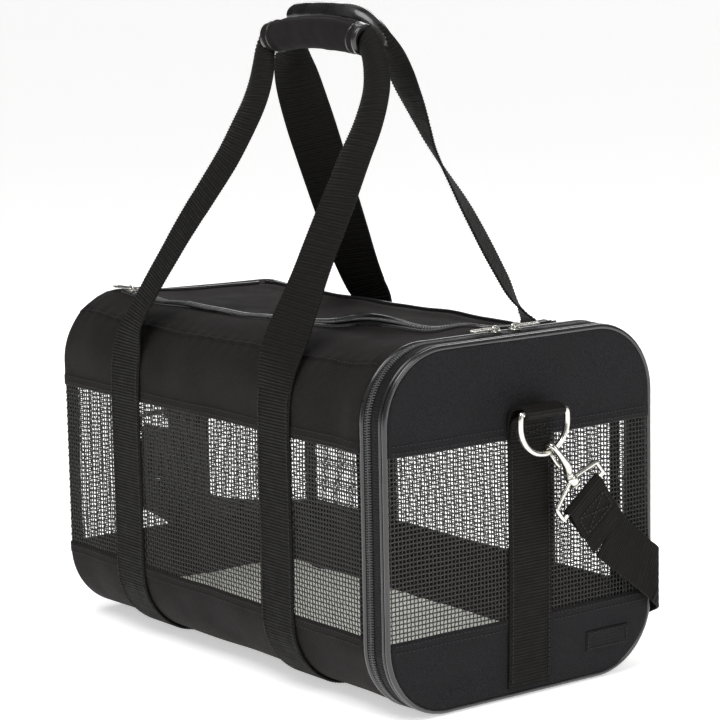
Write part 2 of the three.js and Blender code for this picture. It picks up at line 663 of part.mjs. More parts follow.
// A point of the strap where it winds round one of the bag's upright edges. turn runs from 0 on the door
// face over 90 degrees on the far side to 180 on the back, and fall is the strap's slope downwards.
const WRAP_X = DOOR_FACE - 4;
const WRAP_Y = WIDTH / 2 - 4;
const WRAP_RADIUS = 9.6;
const FAR_Y = WRAP_Y + WRAP_RADIUS; // where the strap leaves the edge
const RUN_Y = FAR_Y - 2; // the strap's own plane beside the far side
function wrap(end, turn, fall, z) {
  const angle = THREE.MathUtils.degToRad(turn);
  const slope = THREE.MathUtils.degToRad(fall);
  return {
    at: v(end * WRAP_X + WRAP_RADIUS * Math.cos(angle), WRAP_Y + WRAP_RADIUS * Math.sin(angle), z),
    across: v(-Math.sin(angle) * Math.sin(slope), Math.cos(angle) * Math.sin(slope), Math.cos(slope)),
  };
}
strapStretch("shoulder_strap_door", [
  { at: doorEnd.start, across: doorEnd.across },
  { at: doorEnd.next, across: doorEnd.across },
  { at: v(230, 86, 99), across: v(0, 0.6, 0.8) },
  { at: v(225, 104, 83.5), across: v(0, 0.55, 0.84) },
  wrap(1, 0, 26, 71.5),
  wrap(1, 30, 19, 69.2),
  wrap(1, 60, 14, 67.3),
  wrap(1, 87, 14, 66.2),
]);
strapStretch("shoulder_strap_far", [
  { ...wrap(1, 90, 14, 65.6), at: v(WRAP_X - 1.2, FAR_Y, 65.4) },
  { at: v(200, FAR_Y, 62.7), across: v(-0.26, 0, 0.97) },
  { at: v(185, FAR_Y, 56), across: v(-0.48, 0, 0.88) },
  { at: v(164, FAR_Y, 41), across: v(-0.56, 0, 0.83) },
  { at: v(138, RUN_Y, 27), across: v(-0.4, 0, 0.92) },
  { at: v(105, RUN_Y, 21.5), across: v(-0.1, 0, 1) },
  { at: v(60, RUN_Y, 21), across: v(0, 0, 1) },
  { at: v(0, RUN_Y, 21), across: v(0, 0, 1) },
  { at: v(-70, RUN_Y, 21), across: v(0, 0, 1) },
  { at: v(-140, RUN_Y, 23), across: v(0.05, 0, 1) },
  { at: v(-186, FAR_Y, 30), across: v(0.16, 0, 1) },
  wrap(-1, 90, -8, 36),
  wrap(-1, 120, -8, 37),
  wrap(-1, 150, -8, 38),
  wrap(-1, 180, -8, 39),
  { at: v(-221.5, 80, 41), across: v(0, 0.05, 1) },
  { at: v(-224, 30, 44), across: v(0, 0.15, 1) },
  { at: v(-230, 0, 52), across: v(0, 0.55, 0.83) },
  { at: v(-234, -17, 67), across: v(0, 0.85, 0.5) },
  { at: v(-234.5, -26, 88), across: v(0, 1, 0.1) },
  { at: backEnd.next, across: backEnd.across.clone().negate() },
  { at: backEnd.start, across: backEnd.across.clone().negate() },
]);
// The adjuster that sets the strap's length sits on it half way along the far side.
const ADJUSTER_Z = 21;
const ADJUSTER_Y = RUN_Y + 1.3;
const ADJUSTER_THICK = 2.2;
function adjusterBlock(x0, x1, halfHeight, grow) {
  const y0 = ADJUSTER_Y - grow;
  const y1 = ADJUSTER_Y + ADJUSTER_THICK + grow;
  return solid(block(x0, x1, y0, y1, ADJUSTER_Z - halfHeight, ADJUSTER_Z + halfHeight));
}
const adjuster = adjusterBlock(-14, 14, 20.8, 0)
  .subtract(adjusterBlock(-10.5, -2, 18.6, 1))
  .subtract(adjusterBlock(2, 10.5, 18.6, 1));
add("strap_adjuster", geometryOf(adjuster), paint(0x111111, 0.4));

// ---- sliders: two on the door zip, two on the top zip, each with its pull ----
function slider(name, at, turn, pullLength) {
  const sliderBody = new THREE.Shape();
  sliderBody.moveTo(-4.5, -3.2);
  sliderBody.lineTo(4.5, -4.2);
  sliderBody.lineTo(4.5, 4.2);
  sliderBody.lineTo(-4.5, 3.2);
  sliderBody.closePath();
  const plate = solid(alongZ(sliderBody, 0, 2));
  const bridge = solid(block(-3, 3, -1, 1, 1.9, 4.9)).subtract(solid(block(-1.8, 1.8, -2, 2, 2.2, 4.2)));
  const seat = new THREE.Matrix4().makeRotationZ(turn).setPosition(at);
  add(name, geometryOf(plate.add(bridge)).applyMatrix4(seat), nickel);

  // The pull hangs through the bridge on a small bar and lies flat on the fabric.
  const pull = new THREE.Shape();
  pull.moveTo(-1.1, -3.4);
  pull.lineTo(pullLength, -3.4);
  pull.lineTo(pullLength + 3, 0);
  pull.lineTo(pullLength, 3.4);
  pull.lineTo(-1.1, 3.4);
  pull.closePath();
  const opening = new THREE.Path();
  opening.moveTo(0.3, -1.9);
  opening.lineTo(0.3, 1.9);
  opening.lineTo(pullLength * 0.45, 1.9);
  opening.lineTo(pullLength * 0.45, -1.9);
  opening.closePath();
  pull.holes.push(opening);
  const laid = alongZ(pull, 2.6, 3.8);
  add(name + "_pull", laid.applyMatrix4(seat), nickel);
}
const SLIDER_Z = TOP - FABRIC_OUT + 1.1;
const ZIP_MIDDLE_X = DOOR_COIL_X - GAP / 2;
slider("door_slider_near", v(ZIP_MIDDLE_X, -9, SLIDER_Z), -Math.PI * 0.5, 20);
slider("door_slider_far", v(ZIP_MIDDLE_X, 9, SLIDER_Z), Math.PI * 0.5, 20);
const TOP_ZIP_SLOPE = Math.atan2(12, 196);
slider("top_slider_back", v(-182, -77.2, SLIDER_Z), TOP_ZIP_SLOPE + Math.PI, 20);
slider("top_slider_front", v(-170, -76.4, SLIDER_Z), TOP_ZIP_SLOPE, 20);

export default bag;
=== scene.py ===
# %% [markdown]
# # A soft pet carrier, sewn in Blender
#
# The real bag is a tube of polyester cloth held open by two wire hoops. It has mesh windows on all
# four sides, a zipped end door, a zipped top flap, two webbing handles and a clip-on shoulder strap.
# The solid model fixes where each piece is and how it moves. Here every piece is made again as what
# it is: cloth, woven webbing, thread, coil zip, piping cord or plated metal.
#
# A sewing pattern is drawn in millimetres, so every length below is in millimetres, and it turns into
# metres only when a mesh is made. X runs to the door, Y to the far long side and Z up.

# %% Load the fixed frame
import math

import bpy
import numpy as np
from mathutils import Matrix, Vector


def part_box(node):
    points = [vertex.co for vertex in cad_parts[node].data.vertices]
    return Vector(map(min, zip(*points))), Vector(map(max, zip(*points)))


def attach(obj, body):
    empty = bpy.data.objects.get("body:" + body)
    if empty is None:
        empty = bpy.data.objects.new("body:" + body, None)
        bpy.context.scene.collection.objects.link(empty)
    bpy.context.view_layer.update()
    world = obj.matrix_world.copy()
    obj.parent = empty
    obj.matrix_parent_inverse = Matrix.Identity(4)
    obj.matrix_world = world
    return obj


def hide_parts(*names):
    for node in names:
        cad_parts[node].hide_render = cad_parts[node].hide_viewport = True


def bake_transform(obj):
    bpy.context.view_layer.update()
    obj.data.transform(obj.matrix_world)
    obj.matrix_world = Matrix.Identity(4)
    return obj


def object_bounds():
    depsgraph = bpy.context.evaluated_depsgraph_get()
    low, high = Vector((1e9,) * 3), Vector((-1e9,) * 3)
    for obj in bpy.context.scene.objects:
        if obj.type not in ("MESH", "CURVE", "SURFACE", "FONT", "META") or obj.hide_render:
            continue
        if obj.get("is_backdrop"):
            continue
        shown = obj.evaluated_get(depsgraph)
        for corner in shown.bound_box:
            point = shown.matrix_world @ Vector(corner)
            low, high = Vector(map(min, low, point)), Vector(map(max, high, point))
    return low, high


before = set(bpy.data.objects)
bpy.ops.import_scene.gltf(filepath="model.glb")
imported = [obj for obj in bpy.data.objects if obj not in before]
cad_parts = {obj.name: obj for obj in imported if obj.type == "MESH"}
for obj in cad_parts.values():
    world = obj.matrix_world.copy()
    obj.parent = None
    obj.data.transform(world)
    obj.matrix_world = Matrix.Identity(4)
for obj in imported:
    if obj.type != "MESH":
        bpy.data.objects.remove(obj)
frame_box = [list(corner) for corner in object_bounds()]
MM = 0.001
print("solid model, in metres:", frame_box)

# %% [markdown]
# ## The camera
#
# A long lens from above and to one side shows the door end and one long side together. The camera
# stands 2 m away, so the far edges are only a little smaller than the near ones. Its three axes are
# built one by one from a heading, a tilt and a slight roll, which is clearer than stacked rotations.

# %% Set up the camera
HEADING, TILT, ROLL = math.radians(142.973), math.radians(-9.106), math.radians(-1.088)
sight = Vector((math.cos(TILT) * math.cos(HEADING), math.cos(TILT) * math.sin(HEADING), math.sin(TILT)))
level_right = sight.cross(Vector((0, 0, 1))).normalized()
level_up = level_right.cross(sight)
right = math.cos(ROLL) * level_right + math.sin(ROLL) * level_up
up = math.cos(ROLL) * level_up - math.sin(ROLL) * level_right

camera_data = bpy.data.cameras.new("camera")
camera_data.sensor_width = 36
camera_data.lens = 130.09
camera_data.clip_end = 200
camera = bpy.data.objects.new("camera", camera_data)
axes = Matrix((right, up, -sight)).transposed()
camera.matrix_world = Matrix.Translation((1.6074, -1.1950, 0.5435)) @ axes.to_4x4()
bpy.context.scene.collection.objects.link(camera)
bpy.context.scene.camera = camera

# %% [markdown]
# ## The studio
#
# Black goods are hard to light: the cloth must stay black while its folds still show. A pale room
# light gives the even base, and three large soft lamps add shape: one high over the near side, one
# beside the door for the piping and the metal, and a weaker one behind. A faint fourth lamp hangs under
# the bag's top, so the fleece pad is seen through the screens. The room is brighter in some directions
# than in others, and dimmer in reflections, because metal and vinyl need both light and dark to reflect.

# %% Light the room
def soft_lamp(name, place, target, size, watts):
    """A lamp with a large face, turned towards its target."""
    data = bpy.data.lights.new(name, "AREA")
    data.shape = "RECTANGLE"
    data.size, data.size_y = size
    data.energy = watts
    lamp = bpy.data.objects.new(name, data)
    lamp.location = place
    lamp.rotation_euler = (Vector(place) - Vector(target)).to_track_quat("Z", "Y").to_euler()
    bpy.context.scene.collection.objects.link(lamp)
    return lamp


# %% [markdown]
# The room's light is a recipe of nodes. A sine over one direction makes bright and dim zones, a second
# node dims them in reflections, and the camera itself sees only an even white.

# %% Paint the room with light
def wire(tree, value, socket):
    """Joins an output to an input, or sets the input to a plain value."""
    if isinstance(value, bpy.types.NodeSocket):
        tree.links.new(value, socket)
    else:
        socket.default_value = value


def add_node(tree, kind, inputs=(), output=0, **settings):
    """Adds a node with its settings and inputs, and returns one of its outputs."""
    made = tree.nodes.new(kind)
    for key, value in settings.items():
        setattr(made, key, value)
    for key, value in dict(inputs).items():
        wire(tree, value, made.inputs[key])
    return made.outputs[output]


WHITE = (1, 1, 1, 1)
ROOM_LIGHT, ROOM_DARK, ROOM_WAVES, IN_REFLECTIONS, BACKDROP = 0.5, 0.12, 9.0, 0.4, 1.0
room = bpy.data.worlds.new("pale room")
bpy.context.scene.world = room
room.use_nodes = True
sky = room.node_tree
direction = add_node(sky, "ShaderNodeTexCoord", output="Generated")
sideways = add_node(sky, "ShaderNodeSeparateXYZ", {0: direction}, output="X")
waves = add_node(sky, "ShaderNodeMath", {0: sideways, 1: ROOM_WAVES}, operation="MULTIPLY")
level = add_node(sky, "ShaderNodeMapRange", {
    "Value": add_node(sky, "ShaderNodeMath", {0: waves}, operation="SINE"),
    "From Min": -0.5, "From Max": 0.5, "To Min": ROOM_DARK, "To Max": 2 * ROOM_LIGHT - ROOM_DARK})
share_kept = add_node(sky, "ShaderNodeMapRange", {
    "Value": add_node(sky, "ShaderNodeLightPath", output="Is Glossy Ray"),
    "To Min": 1.0, "To Max": IN_REFLECTIONS})
strength = add_node(sky, "ShaderNodeMath", {0: level, 1: share_kept}, operation="MULTIPLY")
either = add_node(sky, "ShaderNodeMixShader", {
    0: add_node(sky, "ShaderNodeLightPath", output="Is Camera Ray"),
    1: add_node(sky, "ShaderNodeBackground", {"Color": WHITE, "Strength": strength}),
    2: add_node(sky, "ShaderNodeBackground", {"Color": WHITE, "Strength": BACKDROP})})
wire(sky, either, sky.nodes["World Output"].inputs["Surface"])
bpy.context.scene.view_settings.view_transform = "Standard"

# Each lamp: place and target in metres, size in metres and power in watts.
soft_lamp("lamp high", (0.3, -0.9, 2.1), (0, 0, 0.2), (1.6, 1.2), 26)
soft_lamp("lamp door", (2.0, 0.1, 1.2), (0.1, 0, 0.2), (0.9, 1.4), 12)
soft_lamp("lamp behind", (-1.5, 1.4, 1.5), (0, 0, 0.2), (1.4, 1.0), 12)
inside = soft_lamp("lamp inside", (0, 0, 0.235), (0, 0, 0), (0.34, 0.14), 0.34)
inside.visible_camera = False

# %% [markdown]
# The floor is one large pale sheet that glows a little, so it fades into the background and takes only
# a faint shadow.

# %% Lay the studio floor
FLOOR_REACH = 60
floor_mesh = bpy.data.meshes.new("studio_floor")
floor_mesh.from_pydata([(x * FLOOR_REACH, y * FLOOR_REACH, 0) for x, y in ((-1, -1), (1, -1), (1, 1), (-1, 1))],
                       [], [(0, 1, 2, 3)])
floor = bpy.data.objects.new("studio_floor", floor_mesh)
bpy.context.scene.collection.objects.link(floor)
floor_paint = bpy.data.materials.new("floor paint")
floor_paint.use_nodes = True
for socket, value in {"Base Color": (0.96, 0.96, 0.955, 1), "Roughness": 0.75, "Specular IOR Level": 0.2,
                      "Emission Color": WHITE, "Emission Strength": 0.5}.items():
    floor_paint.node_tree.nodes["Principled BSDF"].inputs[socket].default_value = value
floor_mesh.materials.append(floor_paint)
floor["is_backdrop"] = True

# %% [markdown]
# ## Finishes
#
# Each finish is a small node recipe. The cloths read an attribute called "thread", which the pattern
# pieces carry: how far a point lies along and across its cloth, in millimetres. A sine along each
# direction then gives the over and under of the weave at its true size, on any curved panel, where a
# flat picture would stretch. Gloss that is the same everywhere is set on the shader itself.

# %% A short way to write node recipes
class Finish:
    """A material in the making: its shader, with short ways to add maths, noise and bump."""

    def __init__(self, name, **settings):
        self.material = bpy.data.materials.new(name)
        self.material.use_nodes = True
        self.tree = self.material.node_tree
        self.shader = self.tree.nodes["Principled BSDF"]
        for socket, value in settings.items():
            self.shader.inputs[socket.replace("_", " ")].default_value = value

    def node(self, kind, inputs=(), output=0, **settings):
        return add_node(self.tree, kind, inputs, output, **settings)

    def math(self, operation, a, b=0.0):
        return self.node("ShaderNodeMath", {0: a, 1: b}, operation=operation)

    def noise(self, size, detail=2.0, rough=0.5, place=None):
        """Smooth noise with lumps of about that size, in millimetres."""
        place = place or self.node("ShaderNodeTexCoord", output="Object")
        return self.node("ShaderNodeTexNoise", {"Vector": place, "Scale": 1000 / size, "Detail": detail,
                                                "Roughness": rough})

    def blend(self, share, low, high):
        """A colour between two, by share."""
        return self.node("ShaderNodeMix", {0: share, 6: (*low, 1), 7: (*high, 1)}, output=2,
                         data_type="RGBA")

    def span(self, value, low, high, to_low=0.0, to_high=1.0):
        """Stretches a value from one span of numbers to another."""
        return self.node("ShaderNodeMapRange", {"Value": value, "From Min": low, "From Max": high,
                                                "To Min": to_low, "To Max": to_high})

    def color(self, value):
        wire(self.tree, value, self.shader.inputs["Base Color"])

    def roughness(self, value):
        wire(self.tree, value, self.shader.inputs["Roughness"])

    def bump(self, height, depth, strength=1.0):
        """Raises the surface by height, where 1 is depth millimetres."""
        made = self.node("ShaderNodeBump", {"Height": height, "Distance": depth * MM, "Strength": strength})
        wire(self.tree, made, self.shader.inputs["Normal"])

    def threads(self, along, across):
        """The over and under of a weave, 1 on the top of each thread and 0 between, and the place x, y."""
        spot = self.node("ShaderNodeAttribute", output="Vector", attribute_name="thread")
        x, y = self.node("ShaderNodeSeparateXYZ", {0: spot}).node.outputs[:2]
        warp = self.math("SINE", self.math("MULTIPLY", x, math.pi / along))
        weft = self.math("SINE", self.math("MULTIPLY", y, math.pi / across))
        return self.math("ABSOLUTE", self.math("MULTIPLY", warp, weft)), x, y


# %% [markdown]
# ### Polyester cloth
#
# The body is a plain 600 denier polyester, dull and a little warm. The door's cloth is the same kind
# with a fine diagonal in it, and looks slightly bluer. Both are almost black: what shows is the glint
# on each thread, a faint mottling where the coating varies, and a soft sheen at grazing angles.

# %% Mix the cloths
def woven_cloth(name, dark, light, thread, twill, sheen):
    """Plain weave with a faint diagonal, a mottled coating and a glint here and there."""
    made = Finish(name, Roughness=0.82, Sheen_Weight=sheen, Sheen_Roughness=0.45, Specular_IOR_Level=0.22)
    top, x, y = made.threads(thread, thread)
    diagonal = made.math("SINE", made.math("MULTIPLY", made.math("ADD", x, y), math.pi / (twill * thread)))
    weave = made.math("ADD", made.math("MULTIPLY", top, 0.75), made.math("MULTIPLY", diagonal, 0.22))
    mottle = made.noise(23, 4.0)
    glint = made.noise(1.4, 1.0)
    share = made.math("ADD", made.math("MULTIPLY", weave, 0.55), made.math("MULTIPLY", mottle, 0.45))
    share = made.math("MULTIPLY", share, made.span(glint, 0.3, 0.7, 0.55, 1.35))
    made.color(made.blend(share, dark, light))
    made.roughness(made.span(mottle, 0.3, 0.7, 0.74, 0.9))
    made.bump(weave, 0.22, 0.8)
    return made.material


# Name: dark and light colour, thread width in mm, threads to a diagonal, and sheen.
CLOTHS = {"body_polyester": ((0.0022, 0.0015, 0.0014), (0.022, 0.0165, 0.0155), 0.62, 3.0, 0.015),
          "door_polyester": ((0.002, 0.0019, 0.0022), (0.024, 0.0228, 0.0262), 0.66, 2.0, 0.015),
          "grip_polyester": ((0.002, 0.0014, 0.0014), (0.015, 0.0108, 0.0108), 0.5, 2.0, 0.02),
          "edge_binding": ((0.002, 0.002, 0.002), (0.013, 0.012, 0.012), 0.7, 2.0, 0.02)}
body_cloth, door_cloth, grip_cloth, lining_cloth = (
    woven_cloth(name, *recipe) for name, recipe in CLOTHS.items())

# %% [markdown]
# ### Webbing
#
# The handles are 40 mm polypropylene webbing and the shoulder strap is 38 mm. The cross ribs are real
# shape in the mesh; the recipe adds the fine cords that run along it, and painted shade: thin dark lines
# in the grooves between the ribs, and lighter crests, at the same spacing as the ribs themselves.

# %% Mix the webbing, the zip tape and the sewing thread
RIB = 2.4


def woven_webbing(name, dark, light):
    """Fine cords along the webbing, with painted shade between its ribs and a painted highlight on them."""
    made = Finish(name, Roughness=0.62, Sheen_Weight=0.015, Sheen_Roughness=0.4, Specular_IOR_Level=0.2)
    top, _, y = made.threads(1.2, 1.65)
    tone = made.noise(9, 3.0)
    # Painted shade and highlight: the colour is darker in the grooves between the mesh's ribs and lighter on
    # their crests.
    ribs = made.math("COSINE", made.math("MULTIPLY", y, 2 * math.pi / RIB))
    share = made.math("ADD", made.math("MULTIPLY", top, 0.45), made.math("MULTIPLY", tone, 0.35))
    share = made.math("MULTIPLY", share, made.span(ribs, -1, 1, 0.35, 1.25))
    made.color(made.blend(share, dark, light))
    made.roughness(made.span(tone, 0.3, 0.7, 0.55, 0.72))
    made.bump(top, 0.25, 0.7)
    return made.material


strap_webbing = woven_webbing("strap_webbing", (0.0008, 0.0007, 0.0006), (0.0145, 0.0122, 0.0100))
zip_tape = woven_webbing("zip_tape", (0.0025, 0.0025, 0.0025), (0.014, 0.014, 0.015))


def plain_thread(name, dark, light, roughness):
    """One colour with a little fuzz, for thread and nylon."""
    made = Finish(name, Roughness=roughness, Specular_IOR_Level=0.5)
    fuzz = made.noise(0.8, 2.0)
    made.color(made.blend(fuzz, dark, light))
    made.bump(fuzz, 0.05, 0.5)
    return made.material


sewing_thread = plain_thread("sewing_thread", (0.004, 0.0035, 0.0035), (0.020, 0.018, 0.017), 0.6)
screen_thread = plain_thread("screen_thread", (0.012, 0.0115, 0.011), (0.045, 0.043, 0.040), 0.42)
zip_nylon = plain_thread("zip_nylon", (0.020, 0.020, 0.021), (0.085, 0.085, 0.088), 0.26)

# %% [markdown]
# ### Piping vinyl, plated metal, plastic, board and fleece
#
# The piping and the bindings are soft black vinyl with a fine grain, and they carry the brightest lines
# on the bag. The rings and hooks are nickel plated zinc: a warm mirror with faint polishing marks.

# %% Mix the smooth finishes
def soft_vinyl():
    made = Finish("piping_vinyl", Roughness=0.24, Coat_Weight=0.8, Coat_Roughness=0.09)
    grain = made.noise(1.1, 3.0)
    scuff = made.noise(14, 4.0)
    made.color(made.blend(scuff, (0.003, 0.003, 0.003), (0.014, 0.0135, 0.0135)))
    made.roughness(made.span(scuff, 0.3, 0.7, 0.2, 0.4))
    made.bump(grain, 0.09, 0.6)
    return made.material


def plated_nickel():
    made = Finish("plated_nickel", Metallic=1.0)
    polish = made.noise(6, 5.0, 0.7)
    made.color(made.blend(polish, (0.66, 0.645, 0.59), (0.84, 0.83, 0.78)))
    made.roughness(made.span(polish, 0.3, 0.7, 0.12, 0.26))
    made.bump(made.noise(3.5, 2.0), 0.03, 0.35)
    return made.material


def moulded_plastic():
    made = Finish("moulded_plastic", Specular_IOR_Level=0.5)
    grain = made.noise(0.9, 2.0)
    made.color(made.blend(made.noise(12, 2.0), (0.008, 0.008, 0.008), (0.020, 0.020, 0.021)))
    made.roughness(made.span(grain, 0.3, 0.7, 0.38, 0.55))
    made.bump(grain, 0.05, 0.5)
    return made.material


def pressed_board():
    made = Finish("pressed_board", Roughness=0.85)
    fibre = made.noise(2.5, 6.0, 0.7)
    made.color(made.blend(fibre, (0.09, 0.07, 0.05), (0.24, 0.20, 0.15)))
    made.bump(fibre, 0.15, 0.6)
    return made.material


def cropped_fleece():
    made = Finish("cropped_fleece", Roughness=0.95, Sheen_Weight=0.5, Sheen_Roughness=0.6,
                  Specular_IOR_Level=0.1)
    tuft, pile, patch = made.noise(5.5, 4.0, 0.65), made.noise(1.3, 2.0), made.noise(40, 3.0)
    share = made.math("ADD", made.math("MULTIPLY", tuft, 0.6), made.math("MULTIPLY", pile, 0.4))
    share = made.math("MULTIPLY", share, made.span(patch, 0.3, 0.7, 0.85, 1.15))
    made.color(made.blend(share, (0.58, 0.59, 0.52), (0.93, 0.94, 0.86)))
    made.bump(share, 1.6, 0.8)
    return made.material


piping_vinyl, nickel, plastic = soft_vinyl(), plated_nickel(), moulded_plastic()
board_finish, fleece = pressed_board(), cropped_fleece()
print(len(bpy.data.materials), "finishes mixed")

# %% [markdown]
# ## Cutting and sewing tools
#
# Nearly every piece is one of three things: a cloth laid on a grid of points, a cord or wire swept
# along a line, or a flat webbing swept along a line. A small "Pattern" collects any number of them and
# makes one mesh. It also keeps the thread coordinates that the finishes read.

# %% Small tools for directions and lines
def unit(vectors):
    """The same directions, each of length 1."""
    vectors = np.asarray(vectors, float)
    return vectors / np.maximum(np.linalg.norm(vectors, axis=-1, keepdims=True), 1e-12)


def ease(value):
    """0 below 0, 1 above 1, and a smooth ramp between."""
    value = np.clip(value, 0, 1)
    return value * value * (3 - 2 * value)


def walk(path):
    """How far along a line each of its points is."""
    return np.concatenate([[0], np.cumsum(np.linalg.norm(np.diff(path, axis=0), axis=1))])


def pick(stops, walked, rows):
    """The rows of numbers along a line, read off at any distances."""
    return np.stack([np.interp(stops, walked, column) for column in rows.T], -1)


def everywhere(direction, points):
    """The same direction for each point."""
    return np.broadcast_to(np.array(direction, float), np.shape(points))


# %% Gather grids, cords and webbing into one mesh
class Pattern:
    """A mesh in the making, in millimetres, with the thread coordinates of each point."""

    def __init__(self):
        self.points, self.faces, self.threads, self.count = [], [], [], 0

    def add(self, points, faces, threads):
        self.points.append(np.asarray(points, float).reshape(-1, 3))
        self.threads.append(np.asarray(threads, float).reshape(-1, 2))
        self.faces += [[i + self.count for i in face] for face in faces]
        self.count += len(self.points[-1])

    def grid(self, points, threads, closed=False, caps=False):
        """A sheet of rows x columns points. closed joins the last column to the first."""
        points = np.asarray(points, float)
        rows, columns = points.shape[:2]
        index = np.arange(rows * columns).reshape(rows, columns)
        right_hand = np.roll(index, -1, axis=1) if closed else index[:, 1:]
        left_hand = index if closed else index[:, :-1]
        quads = np.stack([left_hand[:-1], right_hand[:-1], right_hand[1:], left_hand[1:]], -1)
        faces = quads.reshape(-1, 4).tolist()
        if caps:
            faces += [index[0][::-1].tolist(), index[-1].tolist()]
        self.add(points, faces, threads)

    def cord(self, path, radius, sides=8, closed=False, flat=1.0, towards=None):
        """A round or flattened bar along a line of points. radius may vary along it."""
        path = np.asarray(path, float)
        _, across, upward = sweep_frames(path, closed, towards)
        radius = np.broadcast_to(np.asarray(radius, float), len(path))
        turn = np.arange(sides) * 2 * math.pi / sides
        offset = (np.cos(turn)[None, :, None] * across[:, None] +
                  flat * np.sin(turn)[None, :, None] * upward[:, None])
        ring = path[:, None] + radius[:, None, None] * offset
        threads = np.stack(np.broadcast_arrays(walk(path)[:, None], (turn * radius.mean())[None]), -1)
        if closed:
            ring, threads = np.concatenate([ring, ring[:1]]), np.concatenate([threads, threads[:1]])
        self.grid(ring, threads, closed=True, caps=not closed)

    def make(self, name, finish, body=None, replaces=(), slot=None, thick=None, round_by=0):
        """Makes the mesh: what it rides on, the solids it stands for, and its thickness. slot is not used."""
        mesh = bpy.data.meshes.new(name)
        mesh.from_pydata((np.concatenate(self.points) * MM).tolist(), [], self.faces)
        attribute = mesh.attributes.new("thread", "FLOAT_VECTOR", "POINT")
        threads = np.pad(np.concatenate(self.threads), ((0, 0), (0, 1)))
        attribute.data.foreach_set("vector", threads.astype(np.float32).ravel())
        mesh.polygons.foreach_set("use_smooth", np.ones(len(mesh.polygons), bool))
        mesh.materials.append(finish)
        piece = bpy.data.objects.new(name, mesh)
        bpy.context.scene.collection.objects.link(piece)
        if round_by:
            rounding = piece.modifiers.new("round", "SUBSURF")
            rounding.levels = rounding.render_levels = round_by
        if thick:
            cloth = piece.modifiers.new("cloth thickness", "SOLIDIFY")
            cloth.thickness, cloth.offset = thick * MM, -1
        if body:
            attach(piece, body)
        if replaces:
            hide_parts(*replaces)
        print(f"{name}: {len(mesh.vertices)} points")
        return piece


def sweep_frames(path, closed=False, towards=None):
    """For each point of a line: its direction, and two directions square to it that don't twist."""
    ahead = np.roll(path, -1, axis=0) - np.roll(path, 1, axis=0)
    if not closed:
        ahead[0], ahead[-1] = path[1] - path[0], path[-1] - path[-2]
    ahead = unit(ahead)
    if towards is not None:
        side = unit(np.cross(ahead, np.broadcast_to(towards, ahead.shape)))
        return ahead, np.cross(side, ahead), side
    start = np.cross(ahead[0], (0, 0, 1))
    if np.linalg.norm(start) < 0.3:
        start = np.cross(ahead[0], (1, 0, 0))
    side = [unit(start)]
    for direction in ahead[1:]:
        side.append(unit(side[-1] - direction * np.dot(side[-1], direction)))
    side = np.array(side)
    return ahead, side, np.cross(ahead, side)


def smooth_line(knots, step, closed=False):
    """A smooth line through the knots with points about step apart. A knot may carry more numbers
    after its x, y and z, such as a width, and they are smoothed in the same way."""
    knots = np.asarray(knots, float)
    if closed:
        padded = np.concatenate([knots[-1:], knots, knots[:2]])
    else:
        padded = np.concatenate([2 * knots[:1] - knots[1:2], knots, 2 * knots[-1:] - knots[-2:-1]])
    share = np.linspace(0, 1, 13)[:-1, None]
    parts = []
    for a, b, c, d in zip(padded, padded[1:], padded[2:], padded[3:]):
        parts.append(0.5 * (2 * b + (c - a) * share + (2 * a - 5 * b + 4 * c - d) * share ** 2 +
                            (3 * b - a - 3 * c + d) * share ** 3))
    fine = np.concatenate(parts + [knots[:1] if closed else knots[-1:]])
    walked = walk(fine[:, :3])
    count = max(3, int(round(walked[-1] / step)) + 1)
    stops = np.linspace(0, walked[-1], count)
    if closed:
        stops = stops[:-1]
    return pick(stops, walked, fine)


# %% [markdown]
# Webbing is woven with thick cross threads, so its faces carry fine ribs 2.4 mm apart. Where a handle
# goes into its grip the webbing curls up along its length. The width is then the chord of an arc whose
# length stays that of the flat webbing, so it never looks stretched.

# %% Sweep a ribbed webbing along a line
RIB_HEIGHT = 0.36
HANDLE_WIDTH, HANDLE_THICK = 40.0, 2.2
STRAP_WIDTH, STRAP_THICK = 38.0, 1.8
COLUMNS = np.array([-1, -0.975, -0.91, -0.66, -0.4, -0.13, 0.13, 0.4, 0.66, 0.91, 0.975, 1])


def webbing_profile(walked, thick):
    """Half the thickness over rows and columns: ribs across the webbing, and thin rounded edges."""
    edge = np.clip((1 - np.abs(COLUMNS)) / 0.025, 0.45, 1)
    ribs = RIB_HEIGHT * (np.cos(2 * math.pi * walked / RIB)[:, None] - 0.6) + 0.05 * np.cos(COLUMNS * 25)[None]
    return (thick / 2 * edge)[None] + ribs * (edge > 0.9)[None]


def webbing(pattern, centres, across, widths, full_width=HANDLE_WIDTH, thick=HANDLE_THICK, curl=0.0):
    """A webbing along a line. across is the direction of its width at each point, widths is how wide it
    looks there, and curl is how deep a gutter it makes where it is squeezed."""
    centres, across = np.asarray(centres, float), np.asarray(across, float)
    ahead = sweep_frames(centres)[0]
    across = unit(across - ahead * np.sum(across * ahead, -1, keepdims=True))
    face = np.cross(ahead, across)
    walked = walk(centres)
    widths = np.broadcast_to(np.asarray(widths, float), len(centres))
    half_turn = np.array([curl_of(width / full_width) for width in widths])
    bow = np.where(half_turn > 0.02, full_width / (2 * np.maximum(half_turn, 0.02)), 0)
    angle = half_turn[:, None] * COLUMNS[None]
    flat = half_turn[:, None] <= 0.02
    side = np.where(flat, widths[:, None] / 2 * COLUMNS[None], bow[:, None] * np.sin(angle))
    lift = np.where(flat, 0, bow[:, None] * (np.cos(angle) - np.cos(half_turn)[:, None] * 0.5 - 0.5)) * curl
    tilt = np.where(flat, 0, angle) * curl
    half = webbing_profile(walked, thick)
    normal = face[:, None] * np.cos(tilt)[..., None] + across[:, None] * np.sin(tilt)[..., None]
    spine = centres[:, None] + across[:, None] * side[..., None] + face[:, None] * lift[..., None]
    close_webbing(pattern, spine, normal, half, walked, full_width)


